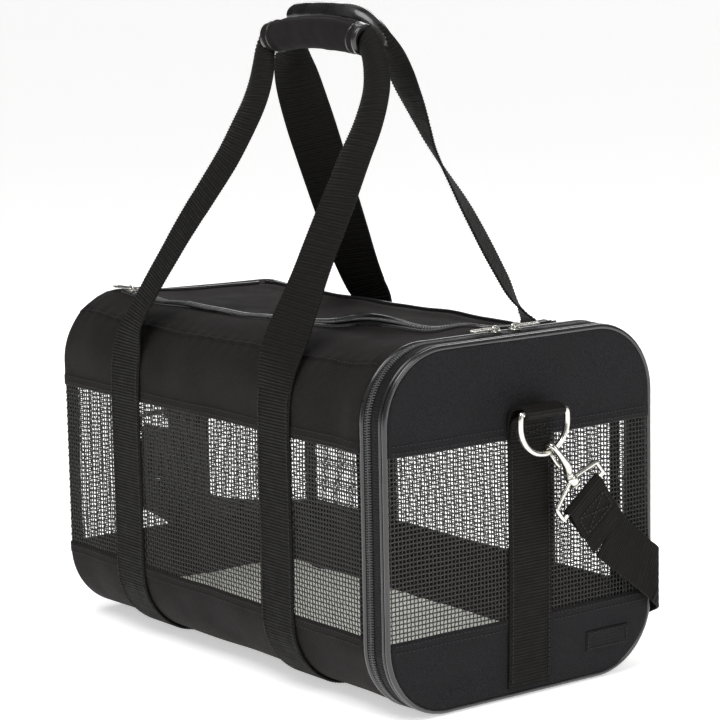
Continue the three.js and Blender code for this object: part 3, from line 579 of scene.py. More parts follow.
def close_webbing(pattern, spine, normals, half, walked, full_width):
    """Gives a webbing's middle surface its two faces and its edges."""
    ring = np.concatenate([(spine + normals * half[..., None])[:, ::-1], spine - normals * half[..., None]], 1)
    spread = COLUMNS * full_width / 2
    threads = np.stack(np.broadcast_arrays(np.concatenate([-spread, spread])[None], walked[:, None]), -1)
    pattern.grid(ring, threads, closed=True, caps=True)


def curl_of(share):
    """The half angle of an arc whose chord is that share of its length."""
    low, high = 0.0, math.pi
    if share > 0.999:
        return 0.0
    for _ in range(30):
        middle = (low + high) / 2
        low, high = (middle, high) if math.sin(middle) / middle > share else (low, middle)
    return low


# %% [markdown]
# Stitches are real beads of thread, a little sunk into the cloth. A row of them is what makes a sewn
# edge look sewn, and each bead is only a few faces, so a whole seam costs little.

# %% Sew a row of stitches along a line
def stitches(pattern, path, normals, length=2.7, gap=0.9, thick=0.42):
    """Beads of thread along a line, standing on a surface with those outward directions."""
    path, normals = np.asarray(path, float), unit(normals)
    walked = walk(path)
    starts = np.arange(gap, walked[-1] - length, length + gap)
    share = np.array([0.0, 0.25, 0.75, 1.0])
    size = np.array([0.35, 1.0, 1.0, 0.35]) * thick
    height = np.array([-0.25, 0.3, 0.3, -0.25]) * thick
    stops = starts[:, None] + share[None] * length
    at, normal = pick(stops, walked, path), unit(pick(stops, walked, normals))
    ahead = unit(at[:, -1:] - at[:, :1])
    side = unit(np.cross(ahead, normal))
    ring = []
    for turn in range(4):
        c, s = math.cos(turn * math.pi / 2 + 0.785), math.sin(turn * math.pi / 2 + 0.785)
        ring.append(at + size[None, :, None] * (c * side + s * normal) + height[None, :, None] * normal)
    ring = np.stack(ring, 2)
    add_beads(pattern, ring, 4, len(starts))


def add_beads(pattern, ring, sides, count, flip=False):
    """Faces for many small bars of four rings each: their sides and two end caps."""
    local = []
    for k in range(0, 3 * sides, sides):
        for j in range(sides):
            after = (j + 1) % sides
            local.append([k + j, k + after, k + sides + after, k + sides + j])
    local += [list(range(sides))[::-1], list(range(3 * sides, 4 * sides))]
    if flip:
        local = [face[::-1] for face in local]
    faces = [[i + 4 * sides * n for i in face] for n in range(count) for face in local]
    pattern.add(ring.reshape(-1, 3), faces, np.zeros((4 * sides * count, 2)))


# %% [markdown]
# ## The shape of the bag
#
# A cross-section of the tube is a rectangle with large rounded corners. One number, the distance walked
# round it from the middle of the bottom, names any point of it, and a second one, the distance back
# from the door, names the rest. Cloth is cut in just these two directions. At the back the sides turn
# in round a soft edge to meet the end wall.
#
# Cloth never lies where the drawing says. "slack" moves each point a few millimetres: the top sags
# between the hoops, the sides belly and pucker near the straps, and the hoops hold their ends true.
# Every piece on the bag goes through the same function, so seams, mesh and webbing stay together.

# %% Measure the cross-section
HALF_WIDTH, LOW, HIGH, CORNER = 126.0, 1.3, 266.0, 54.0
FLAT = HALF_WIDTH - CORNER
ARC = CORNER * math.pi / 2
UPRIGHT = HIGH - LOW - 2 * CORNER
STOPS = np.cumsum([0, FLAT, ARC, UPRIGHT, ARC, 2 * FLAT, ARC, UPRIGHT, ARC, FLAT])
ROUND = STOPS[-1]
FACING = np.radians([-90, -90, -180, -180, -270, -270, -360, -360, -450, -450])
CENTRE_Y = np.array([0, -FLAT, -FLAT, -FLAT, -FLAT, FLAT, FLAT, FLAT, FLAT, 0])
CENTRE_Z = np.array([LOW + CORNER] * 3 + [HIGH - CORNER] * 4 + [LOW + CORNER] * 3)
WINDOW_LOW, WINDOW_HIGH = 60.5, 192.5
LEG_BACK, LEG_FRONT = -117.0, 85.0
HEM, CLOTH_STEP = 9.2, 3.2
BODY_FRONT, BACK_END, BACK_ROUND = 187.3, -216.0, 6.0
STRAIGHT = BODY_FRONT - BACK_END - BACK_ROUND
BACK_LENGTH = STRAIGHT + BACK_ROUND * math.pi / 2


def section(t, inset):
    """y, z and the outward direction at distance t round the section, set in by inset."""
    t = np.mod(t, ROUND)
    angle = np.interp(t, STOPS, FACING)
    facing = np.stack([np.cos(angle), np.sin(angle)], -1)
    centre = np.stack([np.interp(t, STOPS, CENTRE_Y), np.interp(t, STOPS, CENTRE_Z)], -1)
    return centre + facing * (CORNER - np.asarray(inset, float)[..., None]), facing


def height_to_t(z, side):
    """The distance round the section of height z on an upright side: -1 near, 1 far."""
    t = FLAT + ARC + z - (LOW + CORNER)
    return t if side < 0 else ROUND - t


def top_to_t(y):
    """The distance round the section of a place across the top."""
    return STOPS[4] + FLAT + y


NEAR_SEAM = STOPS[3] + CORNER * math.acos((106 - FLAT) / CORNER)
FAR_SEAM = ROUND - NEAR_SEAM

# Hollows and bellies of the cloth: middle x and z, reach in x and z, and how far the cloth stands out.
NEAR_FOLDS = [(150, 222, 24, 26, -5.0), (-70, 236, 20, 22, -4.5), (5, 205, 45, 24, -1.5),
              (-172, 226, 22, 30, 2.2), (30, 236, 26, 14, 2.0), (146, 34, 30, 22, -3.0),
              (15, 30, 55, 18, -2.5), (-62, 22, 26, 14, 1.6), (-180, 32, 22, 24, -1.6),
              (176, 205, 10, 30, 2.0), (128, 246, 16, 9, 3.0), (-20, 128, 60, 40, -1.5)]
FAR_FOLDS = [(140, 215, 30, 26, -3.5), (-75, 232, 24, 20, -3.0), (0, 210, 50, 24, -2.0),
             (150, 32, 30, 20, -2.0), (-10, 34, 60, 18, -2.5), (-170, 220, 24, 26, 2.0),
             (0, 128, 80, 40, -2.0)]
# Ridges of the top: middle x and y, reach in x and y, and how high the cloth stands.
RIDGES = [(86, -35, 50, 20, 13.0), (158, -14, 26, 18, 6.0), (-192, -78, 26, 24, 4.5)]


def mound(u, v, reach_u, reach_v):
    """A smooth hill of height 1, with its middle at 0, 0."""
    return np.exp(-(u / reach_u) ** 2 - (v / reach_v) ** 2)


def slack(points, normals):
    """Where the cloth really lies: the point moved by sag, belly and pucker."""
    x, y, z = points[..., 0], points[..., 1], points[..., 2]
    front_held = ease((186 - x) / 46)
    back_held = 0.45 + 0.55 * ease((x + 214) / 60)
    on_top = ease((z - 196) / 58)
    drop = (3.2 + 6.4 * ease((y + 112) / 190)) * on_top * front_held * back_held
    ridge = sum(high * mound(x - at_x, y - at_y, reach_x, reach_y)
                for at_x, at_y, reach_x, reach_y, high in RIDGES)
    ridge += 3.0 * np.exp(-((y - 62) / 8) ** 2) * ease((x + 200) / 30) * front_held
    lift = ridge * on_top - drop
    push = np.zeros_like(x)
    for folds, facing in ((NEAR_FOLDS, -1), (FAR_FOLDS, 1)):
        share = ease(facing * normals[..., 1] * 1.6 - 0.1)
        for fold_x, fold_z, reach_x, reach_z, out in folds:
            push = push + share * out * mound(x - fold_x, z - fold_z, reach_x, reach_z)
    ripple = (np.sin(x / 17.0 + z / 29.0 + y / 40.0) + np.sin(x / 31.0 - z / 19.0 + 1.3) +
              0.6 * np.sin(x / 9.0 + z / 13.0 + y / 11.0 + 0.4))
    push = push + 0.42 * ripple * ease((184 - x) / 30) * ease((x + 212) / 30)
    near_seam = np.exp(-((np.abs(y) - 106) / 7) ** 2) * on_top
    push = push + 0.5 * near_seam * np.sin(x / 2.3) * front_held
    under = ease((26 - z) / 20)
    push = push * (1 - 0.75 * under) - under * 0.5 * (1 + np.sin(x / 26.0 + 0.8)) * ease((180 - x) / 40)
    sewn = np.exp(-((x - LEG_BACK) / 27) ** 4) + np.exp(-((x - LEG_FRONT) / 27) ** 4)
    push = push * (1 - 0.85 * sewn * ease((244 - z) / 14))
    moved = points + normals * push[..., None]
    moved[..., 2] += lift
    return moved


def shell(back, t, inset):
    """The bag's wall: back is the distance from its front edge, t the distance round the section."""
    back, t = np.broadcast_arrays(np.asarray(back, float), np.asarray(t, float))
    turn = np.clip(back - STRAIGHT, 0, None) / BACK_ROUND
    x = BODY_FRONT - np.minimum(back, STRAIGHT) - BACK_ROUND * np.sin(np.minimum(turn, math.pi / 2))
    more = BACK_ROUND * (1 - np.cos(np.minimum(turn, math.pi / 2)))
    yz, facing = section(t, np.zeros_like(t))
    yz = yz - facing * more[..., None]
    points = np.concatenate([x[..., None], yz], -1)
    normals = np.concatenate([-np.sin(turn)[..., None], facing * np.cos(turn)[..., None]], -1)
    points = points - normals * np.asarray(inset, float)[..., None]
    return slack(points, normals), normals


def wall(pattern, t_from, t_to, hems):
    """Lays a cloth panel on the wall, front to back. hems names the edges with a folded hem."""
    backs = np.linspace(0, BACK_LENGTH, int(BACK_LENGTH / CLOTH_STEP))
    ts = np.linspace(t_from, t_to, int((t_to - t_from) / CLOTH_STEP))
    ts = np.sort(np.concatenate([ts, [t_from + HEM + 0.2, t_to - HEM - 0.2]]))
    back, t = np.meshgrid(backs, ts, indexing="ij")
    inset = np.full_like(back, 1.0)
    if "low" in hems:
        inset -= 0.55 * (t < t_from + HEM)
    if "high" in hems:
        inset -= 0.55 * (t > t_to - HEM)
    pattern.grid(shell(back, t, inset)[0], np.stack([back, t], -1))


print("once round the bag:", round(float(ROUND)), "mm; front to back edge:", round(BACK_LENGTH), "mm")

# %% [markdown]
# ## The body's cloth
#
# The body is cut in six panels: a lower one that runs from window to window under the bag, a band over
# each window, and two top panels with the flap's opening between them, plus the end wall. They could be
# one surface with different finishes, but then every seam would be a painted line. Separate panels with
# folded hems give real edges for the light to catch. Each is a single sheet given its 1.6 mm thickness
# by a modifier, so the inside, which shows through the windows, is right as well.

# %% Lay the lower panel and the bands over the windows
CLOTH = 1.6
HEM_STITCHES = (2.6, 7.4)
LOW_NEAR, LOW_FAR = height_to_t(WINDOW_LOW, -1), height_to_t(WINDOW_LOW, 1)
HIGH_NEAR, HIGH_FAR = height_to_t(WINDOW_HIGH, -1), height_to_t(WINDOW_HIGH, 1)

for name, node, t_from, t_to, hems in (
        ("lower_cloth", "lower_panel", LOW_FAR, LOW_NEAR + ROUND, ("low", "high")),
        ("near_band_cloth", "side_band_near", HIGH_NEAR, NEAR_SEAM + 4, ("low",)),
        ("far_band_cloth", "side_band_far", FAR_SEAM - 4, HIGH_FAR, ("high",))):
    panel = Pattern()
    wall(panel, t_from, t_to, hems)
    panel.make(name, body_cloth, "carrier", [node], "panel_fabric", CLOTH)

# %% [markdown]
# The top panels leave an opening for the flap. The opening's near side runs the length of the bag and
# bends in to the front with the zip, so the zip's line is drawn first, and panels, flap, tapes and teeth
# are all laid out from it.

# %% Draw the line of the top zip
def bezier(a, b, c, d, count):
    """Points on a curve from a to d that b and c pull."""
    s = np.linspace(0, 1, count)[:, None]
    a, b, c, d = (np.array(p, float) for p in (a, b, c, d))
    return (1 - s) ** 3 * a + 3 * s * (1 - s) ** 2 * b + 3 * s * s * (1 - s) * c + s ** 3 * d


FLAP_BACK, FLAP_FRONT, FLAP_HINGE = -196.0, 170.0, 60.0
flap_line = np.concatenate([
    np.linspace((FLAP_BACK, -74), (0, -62), 60)[:-1],
    bezier((0, -62), (60, -60), (95, -48), (125, -34), 36)[:-1],
    bezier((125, -34), (150, -22), (170, -8), (170, 8), 26)[:-1],
    np.linspace((FLAP_FRONT, 8), (FLAP_FRONT, FLAP_HINGE), 20)])


def beside_zip(out, line=flap_line):
    """The flap's edge moved outward, in the cloth's flat coordinates x and y."""
    ahead = np.gradient(line, axis=0)
    normal = unit(np.stack([ahead[:, 1], -ahead[:, 0]], -1))
    return line + normal * out


def on_top(flat, inset):
    """Lays flat x and y on the top of the bag."""
    return shell(BODY_FRONT - flat[..., 0], top_to_t(flat[..., 1]), np.full(flat.shape[:-1], float(inset)))


# %% Lay the top panels round the opening
ZIP_GAP = 6.7
edge = beside_zip(ZIP_GAP)
near_edge = edge[edge[:, 1] < 9]
across_share = np.linspace(0, 1, 16)


def strip_between(pattern, x_line, t_from, t_to, raise_low=False, raise_high=False, inset=1.0):
    """A panel whose rows run back along x_line, each from t_from to t_to."""
    x_line, t_from, t_to = np.broadcast_arrays(x_line, np.asarray(t_from, float), np.asarray(t_to, float))
    t = t_from[:, None] + (t_to - t_from)[:, None] * across_share[None]
    raised = np.full_like(t, inset)
    if raise_low:
        raised -= 0.6 * (np.abs(t - t_from[:, None]) < 8)
    if raise_high:
        raised -= 0.6 * (np.abs(t_to[:, None] - t) < 8)
    back = np.broadcast_to((BODY_FRONT - x_line)[:, None], t.shape)
    pattern.grid(shell(back, t, raised)[0], np.stack([back, t], -1))


x_back_end = BODY_FRONT - BACK_LENGTH
back_x, front_x = np.linspace(FLAP_BACK, x_back_end, 16), np.linspace(BODY_FRONT, near_edge[-1, 0], 5)
middle_t = top_to_t(30.0)
near_top = Pattern()
strip_between(near_top, near_edge[::-1, 0], NEAR_SEAM - 3, top_to_t(near_edge[::-1, 1]), True)
strip_between(near_top, back_x, NEAR_SEAM - 3, middle_t, True)
strip_between(near_top, front_x, NEAR_SEAM - 3, middle_t, True)
near_top.make("near_top_cloth", body_cloth, "carrier", ["top_panel_near"], "panel_fabric", CLOTH)

far_top = Pattern()
long_x = np.linspace(near_edge[-1, 0], FLAP_BACK, 130)
strip_between(far_top, long_x, top_to_t(FLAP_HINGE + 1.6), FAR_SEAM + 3, False, True)
strip_between(far_top, back_x, middle_t, FAR_SEAM + 3, False, True)
strip_between(far_top, front_x, middle_t, FAR_SEAM + 3, False, True)
far_top.make("far_top_cloth", body_cloth, "carrier", ["top_panel_far"], "panel_fabric", CLOTH)

# %% [markdown]
# The flap is one sheet that sags with the rest of the top. Its far edge is the hinge, where it is sewn
# to the body; the other three edges are free when the zip is open, and they are bound with vinyl.

# %% Lay the flap
flap_x, flap_near = flap_line[flap_line[:, 1] < 8.5].T
flap = Pattern()
shares = np.linspace(0, 1, 34)
flap_t = top_to_t(flap_near[::-1, None] + (FLAP_HINGE - flap_near[::-1, None]) * shares[None])
flap_back = np.broadcast_to(BODY_FRONT - flap_x[::-1, None], flap_t.shape)
flap.grid(shell(flap_back, flap_t, np.full_like(flap_t, 1.0))[0], np.stack([flap_back, flap_t], -1))
flap.make("top_flap_cloth", body_cloth, "top_flap", ["top_flap"], "panel_fabric", CLOTH)

# %% [markdown]
# The back end wall is flat inside its rounded edge. Its rows are laid from side to side, and each takes
# its length from the rounded outline, which gives clean corners without cutting.

# %% Lay the back wall
def end_rows(inset, t_from, t_to):
    """Half widths and heights of an end wall, for rows between two points of the near outline."""
    ts = np.linspace(t_from, t_to, int((t_to - t_from) / CLOTH_STEP))
    yz, _ = section(ts, np.full_like(ts, inset))
    return -yz[:, 0], yz[:, 1]


TO_DOOR, TO_BACK = (1.0, 0, 0), (-1.0, 0, 0)


def back_wall(pattern, t_from, t_to, hem_low, hem_high):
    """Lays a panel of the back wall between two points of the outline."""
    half, z = end_rows(BACK_ROUND - 0.2, t_from, t_to)
    y = -half[:, None] * np.linspace(-1, 1, 70)[None]
    z = np.broadcast_to(z[:, None], y.shape)
    inset = 1.0 - 0.55 * ((hem_low & (z < z.min() + HEM)) | (hem_high & (z > z.max() - HEM)))
    points = np.stack([BACK_END + inset, y, z], -1)
    pattern.grid(slack(points, everywhere(TO_BACK, points)), np.stack([y, z], -1))


back_low, back_high = Pattern(), Pattern()
back_wall(back_low, STOPS[1], LOW_NEAR, False, True)
back_wall(back_high, HIGH_NEAR, STOPS[4], True, False)
back_low.make("back_low_cloth", body_cloth, "carrier", ["back_panel_low"], "panel_fabric", CLOTH)
back_high.make("back_high_cloth", body_cloth, "carrier", ["back_panel_high"], "panel_fabric", CLOTH)

# %% [markdown]
# ## The mesh windows
#
# The window mesh is a woven screen of coated threads, 3.3 mm apart. A picture of holes would lie flat;
# real threads that pass over and under each other catch the light one by one, and close up at a low
# angle as a real screen does. Each thread has a point at every crossing, lifted or lowered in turn.

# %% Weave a screen
# The spacing of the threads, half a thread's thickness, and how far each goes over or under.
PITCH, THREAD, WAVE = 3.3, 0.52, 0.42


def screen(pattern, place, width, height):
    """place(u, v) gives points and outward directions of the window's surface."""
    u_lines = np.arange(PITCH / 2, width, PITCH)
    v_lines = np.arange(PITCH / 2, height, PITCH)
    for lines, stops, end, turned in ((u_lines, v_lines, height, False), (v_lines, u_lines, width, True)):
        run = np.concatenate([[0], stops, [end]])
        line, along = np.meshgrid(lines, run, indexing="ij")
        u, v = (along, line) if turned else (line, along)
        points, normals = place(u, v)
        ahead = unit(np.gradient(points, axis=1))
        side = np.cross(ahead, normals)
        sign = (-1.0) ** (np.arange(len(lines))[:, None] + np.arange(len(run))[None] + turned)
        points = points + normals * (WAVE * sign)[..., None]
        ring = np.stack([points + normals * THREAD, points + side * THREAD,
                         points - normals * THREAD, points - side * THREAD], 2)
        count, length = ring.shape[:2]
        index = np.arange(count * length * 4).reshape(count, length, 4)
        following = np.roll(index, -1, axis=2)
        quads = np.stack([index[:, :-1], following[:, :-1], following[:, 1:], index[:, 1:]], -1)
        pattern.add(ring.reshape(-1, 3), quads.reshape(-1, 4).tolist(), np.zeros((ring.size // 3, 2)))


TUCK = 2.2


def side_window(name, node, side):
    """Weaves the screen of one long side: -1 near, 1 far."""
    t_low = height_to_t(WINDOW_LOW - TUCK, side)
    facing = -side

    def place(u, v):
        return shell(u, t_low + facing * v, np.full_like(u, 2.0))

    window = Pattern()
    screen(window, place, BACK_LENGTH, WINDOW_HIGH - WINDOW_LOW + 2 * TUCK)
    window.make(name, screen_thread, "carrier", [node], "window_mesh")


side_window("near_window_screen", "side_mesh_near", -1)
side_window("far_window_screen", "side_mesh_far", 1)


def back_place(u, v):
    """The back window's surface, u across and v up."""
    y, z = HALF_WIDTH - BACK_ROUND + 2 - u, WINDOW_LOW - TUCK + v
    points = np.stack([np.full_like(u, BACK_END + 2.0), y, z], -1)
    normals = everywhere(TO_BACK, points)
    return slack(points, normals), normals


back_window = Pattern()
screen(back_window, back_place, 2 * (HALF_WIDTH - BACK_ROUND + 2), WINDOW_HIGH - WINDOW_LOW + 2 * TUCK)
back_window.make("back_window_screen", screen_thread, "carrier", ["back_mesh"], "window_mesh")

# %% [markdown]
# ## Hoops, board and seams
#
# Two spring-wire hoops hold the tube open. Each lies in a cloth sleeve sewn just inside the wall, so
# what shows through the mesh is a round black band, not wire. The joint between wall and end is a bound
# seam, and all hems are sewn with two rows of stitches.

# %% Make the hoops' sleeves, the bound seams and the floor board
ring_t = np.linspace(0, ROUND, 240, endpoint=False)


def round_bag(back, inset):
    """A closed line round the bag."""
    return shell(np.full_like(ring_t, back), ring_t, np.full_like(ring_t, inset))[0]


def sleeve(name, node, back, inset, radius):
    """A hoop's cloth sleeve, a little gathered."""
    pattern = Pattern()
    path = round_bag(back, inset)
    gathers = 1 + 0.05 * np.sin(np.arange(len(path)) * 1.9) + 0.04 * np.sin(np.arange(len(path)) * 0.77)
    pattern.cord(path, radius * gathers, 10, closed=True)
    pattern.make(name, lining_cloth, "carrier", [node], "hoop_steel")


sleeve("front_hoop_sleeve", "front_hoop", 5.6, 6.6, 3.6)
sleeve("back_hoop_sleeve", "back_hoop", STRAIGHT - 2.0, 6.6, 3.6)

binding = Pattern()
for inset, half_width, flat in ((0.6, 2.6, 0.4), (4.2, 3.6, 0.5)):
    binding.cord(round_bag(BACK_LENGTH, inset), half_width, 8, closed=True, flat=flat, towards=TO_DOOR)
binding.make("back_seam_binding", lining_cloth, "carrier", slot="panel_fabric")


def keep_solid(name, finish):
    """Keeps a piece of the solid model as it is, with its own finish."""
    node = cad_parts[name]
    node.data.materials.clear()
    node.data.materials.append(finish)
    return node


keep_solid("base_board", board_finish)

# %% Sew the body's seams
body_seams = Pattern()


def sew_wall(back_from, back_to, t, inset):
    """Stitches along the bag, between two distances from its front edge."""
    backs = np.arange(back_from, back_to, 2.0)
    points, normals = shell(backs, np.full_like(backs, t), np.full_like(backs, inset))
    stitches(body_seams, points, normals)


for offset in HEM_STITCHES:
    for t in (LOW_NEAR - offset, LOW_FAR + offset, HIGH_NEAR + offset, HIGH_FAR - offset):
        sew_wall(3, BACK_LENGTH - 6, t, 0.35)
for t in (NEAR_SEAM - 0.6, FAR_SEAM + 0.6):
    sew_wall(3, BACK_LENGTH - 8, t, 0.3)
for side_t in (LOW_NEAR, HIGH_NEAR):
    sign = -1 if side_t == LOW_NEAR else 1
    for offset in HEM_STITCHES:
        y = np.arange(-100, 101, 2.0)
        z = np.full_like(y, (WINDOW_LOW if sign < 0 else WINDOW_HIGH) + sign * offset)
        line = np.stack([np.full_like(y, BACK_END + 0.3), y, z], -1)
        facing = everywhere(TO_BACK, line)
        stitches(body_seams, slack(line, facing), facing)
body_seams.make("body_seam_stitches", sewing_thread, "carrier", slot="panel_fabric")

# %% [markdown]
# ## Zips
#
# A coil zip is two rows of nylon loops that lock between each other, each sewn to its own tape. Rows of
# rounded beads, staggered by half a tooth, show both the lock and the sparkle down the middle. The two
# halves are separate pieces, because one stays on the bag and the other goes with the door or the flap.

# %% Make zip teeth along a line
# Along a tooth: the share of its length, and its size there.
TOOTH = np.array([[-0.5, 0.45], [-0.38, 1.0], [0.36, 1.0], [0.5, 0.5]])


def teeth(pattern, path, normals, side_sign, pitch, reach, offset):
    """One half of a zip: beads that point across the line, on one side of it."""
    walked = walk(path)
    starts = np.arange(pitch * (0.75 if side_sign > 0 else 0.25), walked[-1], pitch)
    ahead = unit(pick(starts + 0.5, walked, path) - pick(starts - 0.5, walked, path))
    normal = unit(pick(starts, walked, normals))
    side = unit(np.cross(ahead, normal)) * side_sign
    normal = np.cross(side, ahead) * side_sign
    middle = pick(starts, walked, path) + side * offset
    ring = []
    for share, size in TOOTH:
        for turn in range(6):
            c, s = math.cos(turn * math.pi / 3), math.sin(turn * math.pi / 3)
            ring.append(middle + side * (share * reach) + size * (0.36 * pitch * c * ahead + 0.85 * s * normal))
    add_beads(pattern, np.stack(ring, 1), 6, len(starts), flip=side_sign > 0)


def tape(pattern, path, normals, from_side, to_side, columns=5):
    """A woven tape beside a line, from one distance to another across it."""
    side = unit(np.cross(unit(np.gradient(path, axis=0)), normals))
    reach = np.linspace(from_side, to_side, columns)
    points = path[:, None] + side[:, None] * reach[None, :, None]
    along = np.arange(len(path)) * np.linalg.norm(path[1] - path[0])
    if to_side > from_side:
        points = points[:, ::-1]
    pattern.grid(points, np.stack(np.broadcast_arrays(reach[None], along[:, None]), -1))


# %% Sew the top zip between the flap and the body
zip_line = flap_line[flap_line[:, 0] > -192]
TOP_PITCH = 2.1


def top_line(out, inset):
    """A line beside the zip on the top of the bag, and its outward directions."""
    flat = smooth_line(beside_zip(out, zip_line), 2.0)
    return on_top(flat[:, :2], inset)


ZIP_MIDDLE = 3.35
for piece_name, node, body, sign, edge_out in (
        ("top_zip_flap_half", "top_zip_flap_side", "top_flap", -1, -1.6),
        ("top_zip_body_half", "top_zip_body_side", "carrier", 1, 8.4)):
    half = Pattern()
    path, normals = top_line(ZIP_MIDDLE, -0.9)
    teeth(half, path, normals, sign, TOP_PITCH, 5.4, 1.6)
    half.make(piece_name, zip_nylon, body, [node], "zip")
    half_tape = Pattern()
    path, normals = top_line(ZIP_MIDDLE, 1.25)
    tape(half_tape, path, normals, sign * 0.5, sign * 5.4)
    half_tape.make(piece_name + "_tape", zip_tape, body, slot="zip", thick=0.6)
    bound = Pattern()
    path, normals = top_line(edge_out, 0.1 if sign < 0 else 0.7)
    bound.cord(path, 2.0, 8, flat=0.6 if sign < 0 else 0.4, towards=(0, 0, 1))
    bound.make(piece_name + "_binding", piping_vinyl, body, slot="vinyl")

hinge_bind = Pattern()
hinge_x = np.linspace(FLAP_FRONT - 1, FLAP_BACK + 2, 150)
hinge_flat = np.stack([hinge_x, np.full_like(hinge_x, FLAP_HINGE + 4.5)], -1)
hinge_bind.cord(on_top(hinge_flat, 0.3)[0], 1.7, 8, flat=0.6, towards=(0, 0, 1))
hinge_flat[:, 1] += 8
hinge_bind.cord(on_top(hinge_flat, 0.4)[0], 1.5, 8, flat=0.6, towards=(0, 0, 1))
hinge_bind.make("top_hinge_binding", piping_vinyl, "carrier", slot="vinyl")

flap_bind = Pattern()
back_edge_y = np.linspace(-72, FLAP_HINGE - 2, 50)
back_edge = np.stack([np.full_like(back_edge_y, FLAP_BACK + 1.5), back_edge_y], -1)
flap_bind.cord(on_top(back_edge, 0.4)[0], 1.8, 8, flat=0.55, towards=(0, 0, 1))
flap_bind.make("flap_back_binding", piping_vinyl, "top_flap", slot="vinyl")

# %% [markdown]
# ## The end of the body and the door
#
# From the body towards the door come a piping cord, one half of the zip, the other half, a narrow woven
# band, and two more piping cords round the door's face. All follow the same rounded outline, and the
# hoop behind it keeps them true, so here there is no slack. The zip stops at the bottom corners, where
# a strip of cloth serves as the hinge.

# %% Pipe the edges and lay the woven band
def outline(x, inset, t_from=0.0, t_to=None, step=3.0):
    """A line round the section at a fixed x, closed unless it is given two ends."""
    if t_to is None:
        t = np.linspace(0, ROUND, int(ROUND / step), endpoint=False)
    else:
        t = np.linspace(t_from, t_to, int((t_to - t_from) / step))
    yz, facing = section(t, np.full_like(t, float(inset)))
    points = np.concatenate([np.full_like(t, x)[:, None], yz], -1)
    return points, np.concatenate([np.zeros_like(t)[:, None], facing], -1)


ZIP_FROM, ZIP_TO = 76.0, ROUND - 76.0
DOOR_FACE, ZIP_X = 216.0, 196.35


def pinched(count, radius):
    """A cord's radius, a little smaller wherever a stitch pulls its cover tight."""
    n = np.arange(count)
    return radius * (1 - 0.035 * (0.5 + 0.5 * np.cos(n * 2.3)) + 0.012 * np.sin(n * 0.31))


def piping(name, node, body, x, inset, radius, open_ended=False):
    """A piping cord round the section. An open-ended one stops where the zip does."""
    pattern = Pattern()
    path = (outline(x, inset, ZIP_FROM, ZIP_TO) if open_ended else outline(x, inset))[0]
    pattern.cord(path, pinched(len(path), radius), 12, closed=not open_ended)
    pattern.make(name, piping_vinyl, body, [node], "vinyl")


piping("body_piping_cord", "body_piping", "carrier", 189.4, 1.6, 2.15)
piping("door_inner_piping_cord", "door_piping_inner", "door", 209.9, 1.25, 1.35, open_ended=True)
piping("door_rim_piping_cord", "door_piping_outer", "door", 213.6, 2.0, 2.1)

for name, node, body, sign in (("door_zip_body_half", "door_zip_body_side", "carrier", -1),
                               ("door_zip_door_half", "door_zip_door_side", "door", 1)):
    half = Pattern()
    path, facing = outline(ZIP_X, 0.6, ZIP_FROM, ZIP_TO, 2.0)
    teeth(half, path, facing, sign, 1.9, 4.3, 1.15)
    half.make(name, zip_nylon, body, [node], "zip")
    half_tape = Pattern()
    path, facing = outline(ZIP_X, 1.7, ZIP_FROM, ZIP_TO)
    tape(half_tape, path, facing, sign * 0.4, sign * (6.6 if sign < 0 else 5.0))
    half_tape.make(name + "_tape", zip_tape, body, slot="zip", thick=0.7)

band = Pattern()
band_x = np.linspace(200.6, 209.4, 8)
band_path, band_facing = outline(0, 1.0, ZIP_FROM, ZIP_TO, 0.62)
walked = np.arange(len(band_path)) * 0.62
crown = 0.5 * np.sin(np.linspace(0, math.pi, 8))
ribs = 0.12 * np.sin(walked * 2 * math.pi / RIB)
rise = crown[None] + ribs[:, None]
band_points = band_path[:, None] + band_facing[:, None] * rise[..., None]
band_points[..., 0] = band_x[None]
band.grid(band_points, np.stack(np.broadcast_arrays(band_x[None], walked[:, None]), -1))
band.make("door_woven_band", zip_tape, "door", ["door_gusset"], "door_fabric", CLOTH)

# %% [markdown]
# The hinge is a strip of cloth under the zip's gap. It belongs half to the bag and half to the door.

# %% Lay the hinge cloth under the door
hinge = Pattern()
hinge_rows = np.linspace(-79, 79, 54)
hinge_columns = np.linspace(186.0, 212.4, 18)
hx, hy = np.meshgrid(hinge_columns, hinge_rows)
fold = 0.5 * np.sin((hx - 187) / 25 * math.pi) + 0.25 * np.sin(hy / 9.0) * np.sin((hx - 187) / 25 * math.pi)
past_flat = np.clip(np.abs(hy) - FLAT, 0, CORNER)
corner_lift = CORNER - np.sqrt(CORNER ** 2 - past_flat ** 2)
hinge_points = np.stack([hx, hy, LOW + 1.4 + fold + corner_lift], -1)
hinge.grid(hinge_points, np.stack([hx, hy], -1))
hinge_cloth = hinge.make("door_hinge_cloth", body_cloth, None, ["hinge_strip"], "panel_fabric", 1.2)
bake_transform(hinge_cloth)

# %% [markdown]
# ## The door's face
#
# The face is two cloth panels with a window between them. It is stretched by the piping at its rim, but
# the middle stands out a couple of millimetres, and the cloth puckers where the strap is sewn down.

# %% Lay the door's cloth, window and patch
RIM_INSET = 3.7


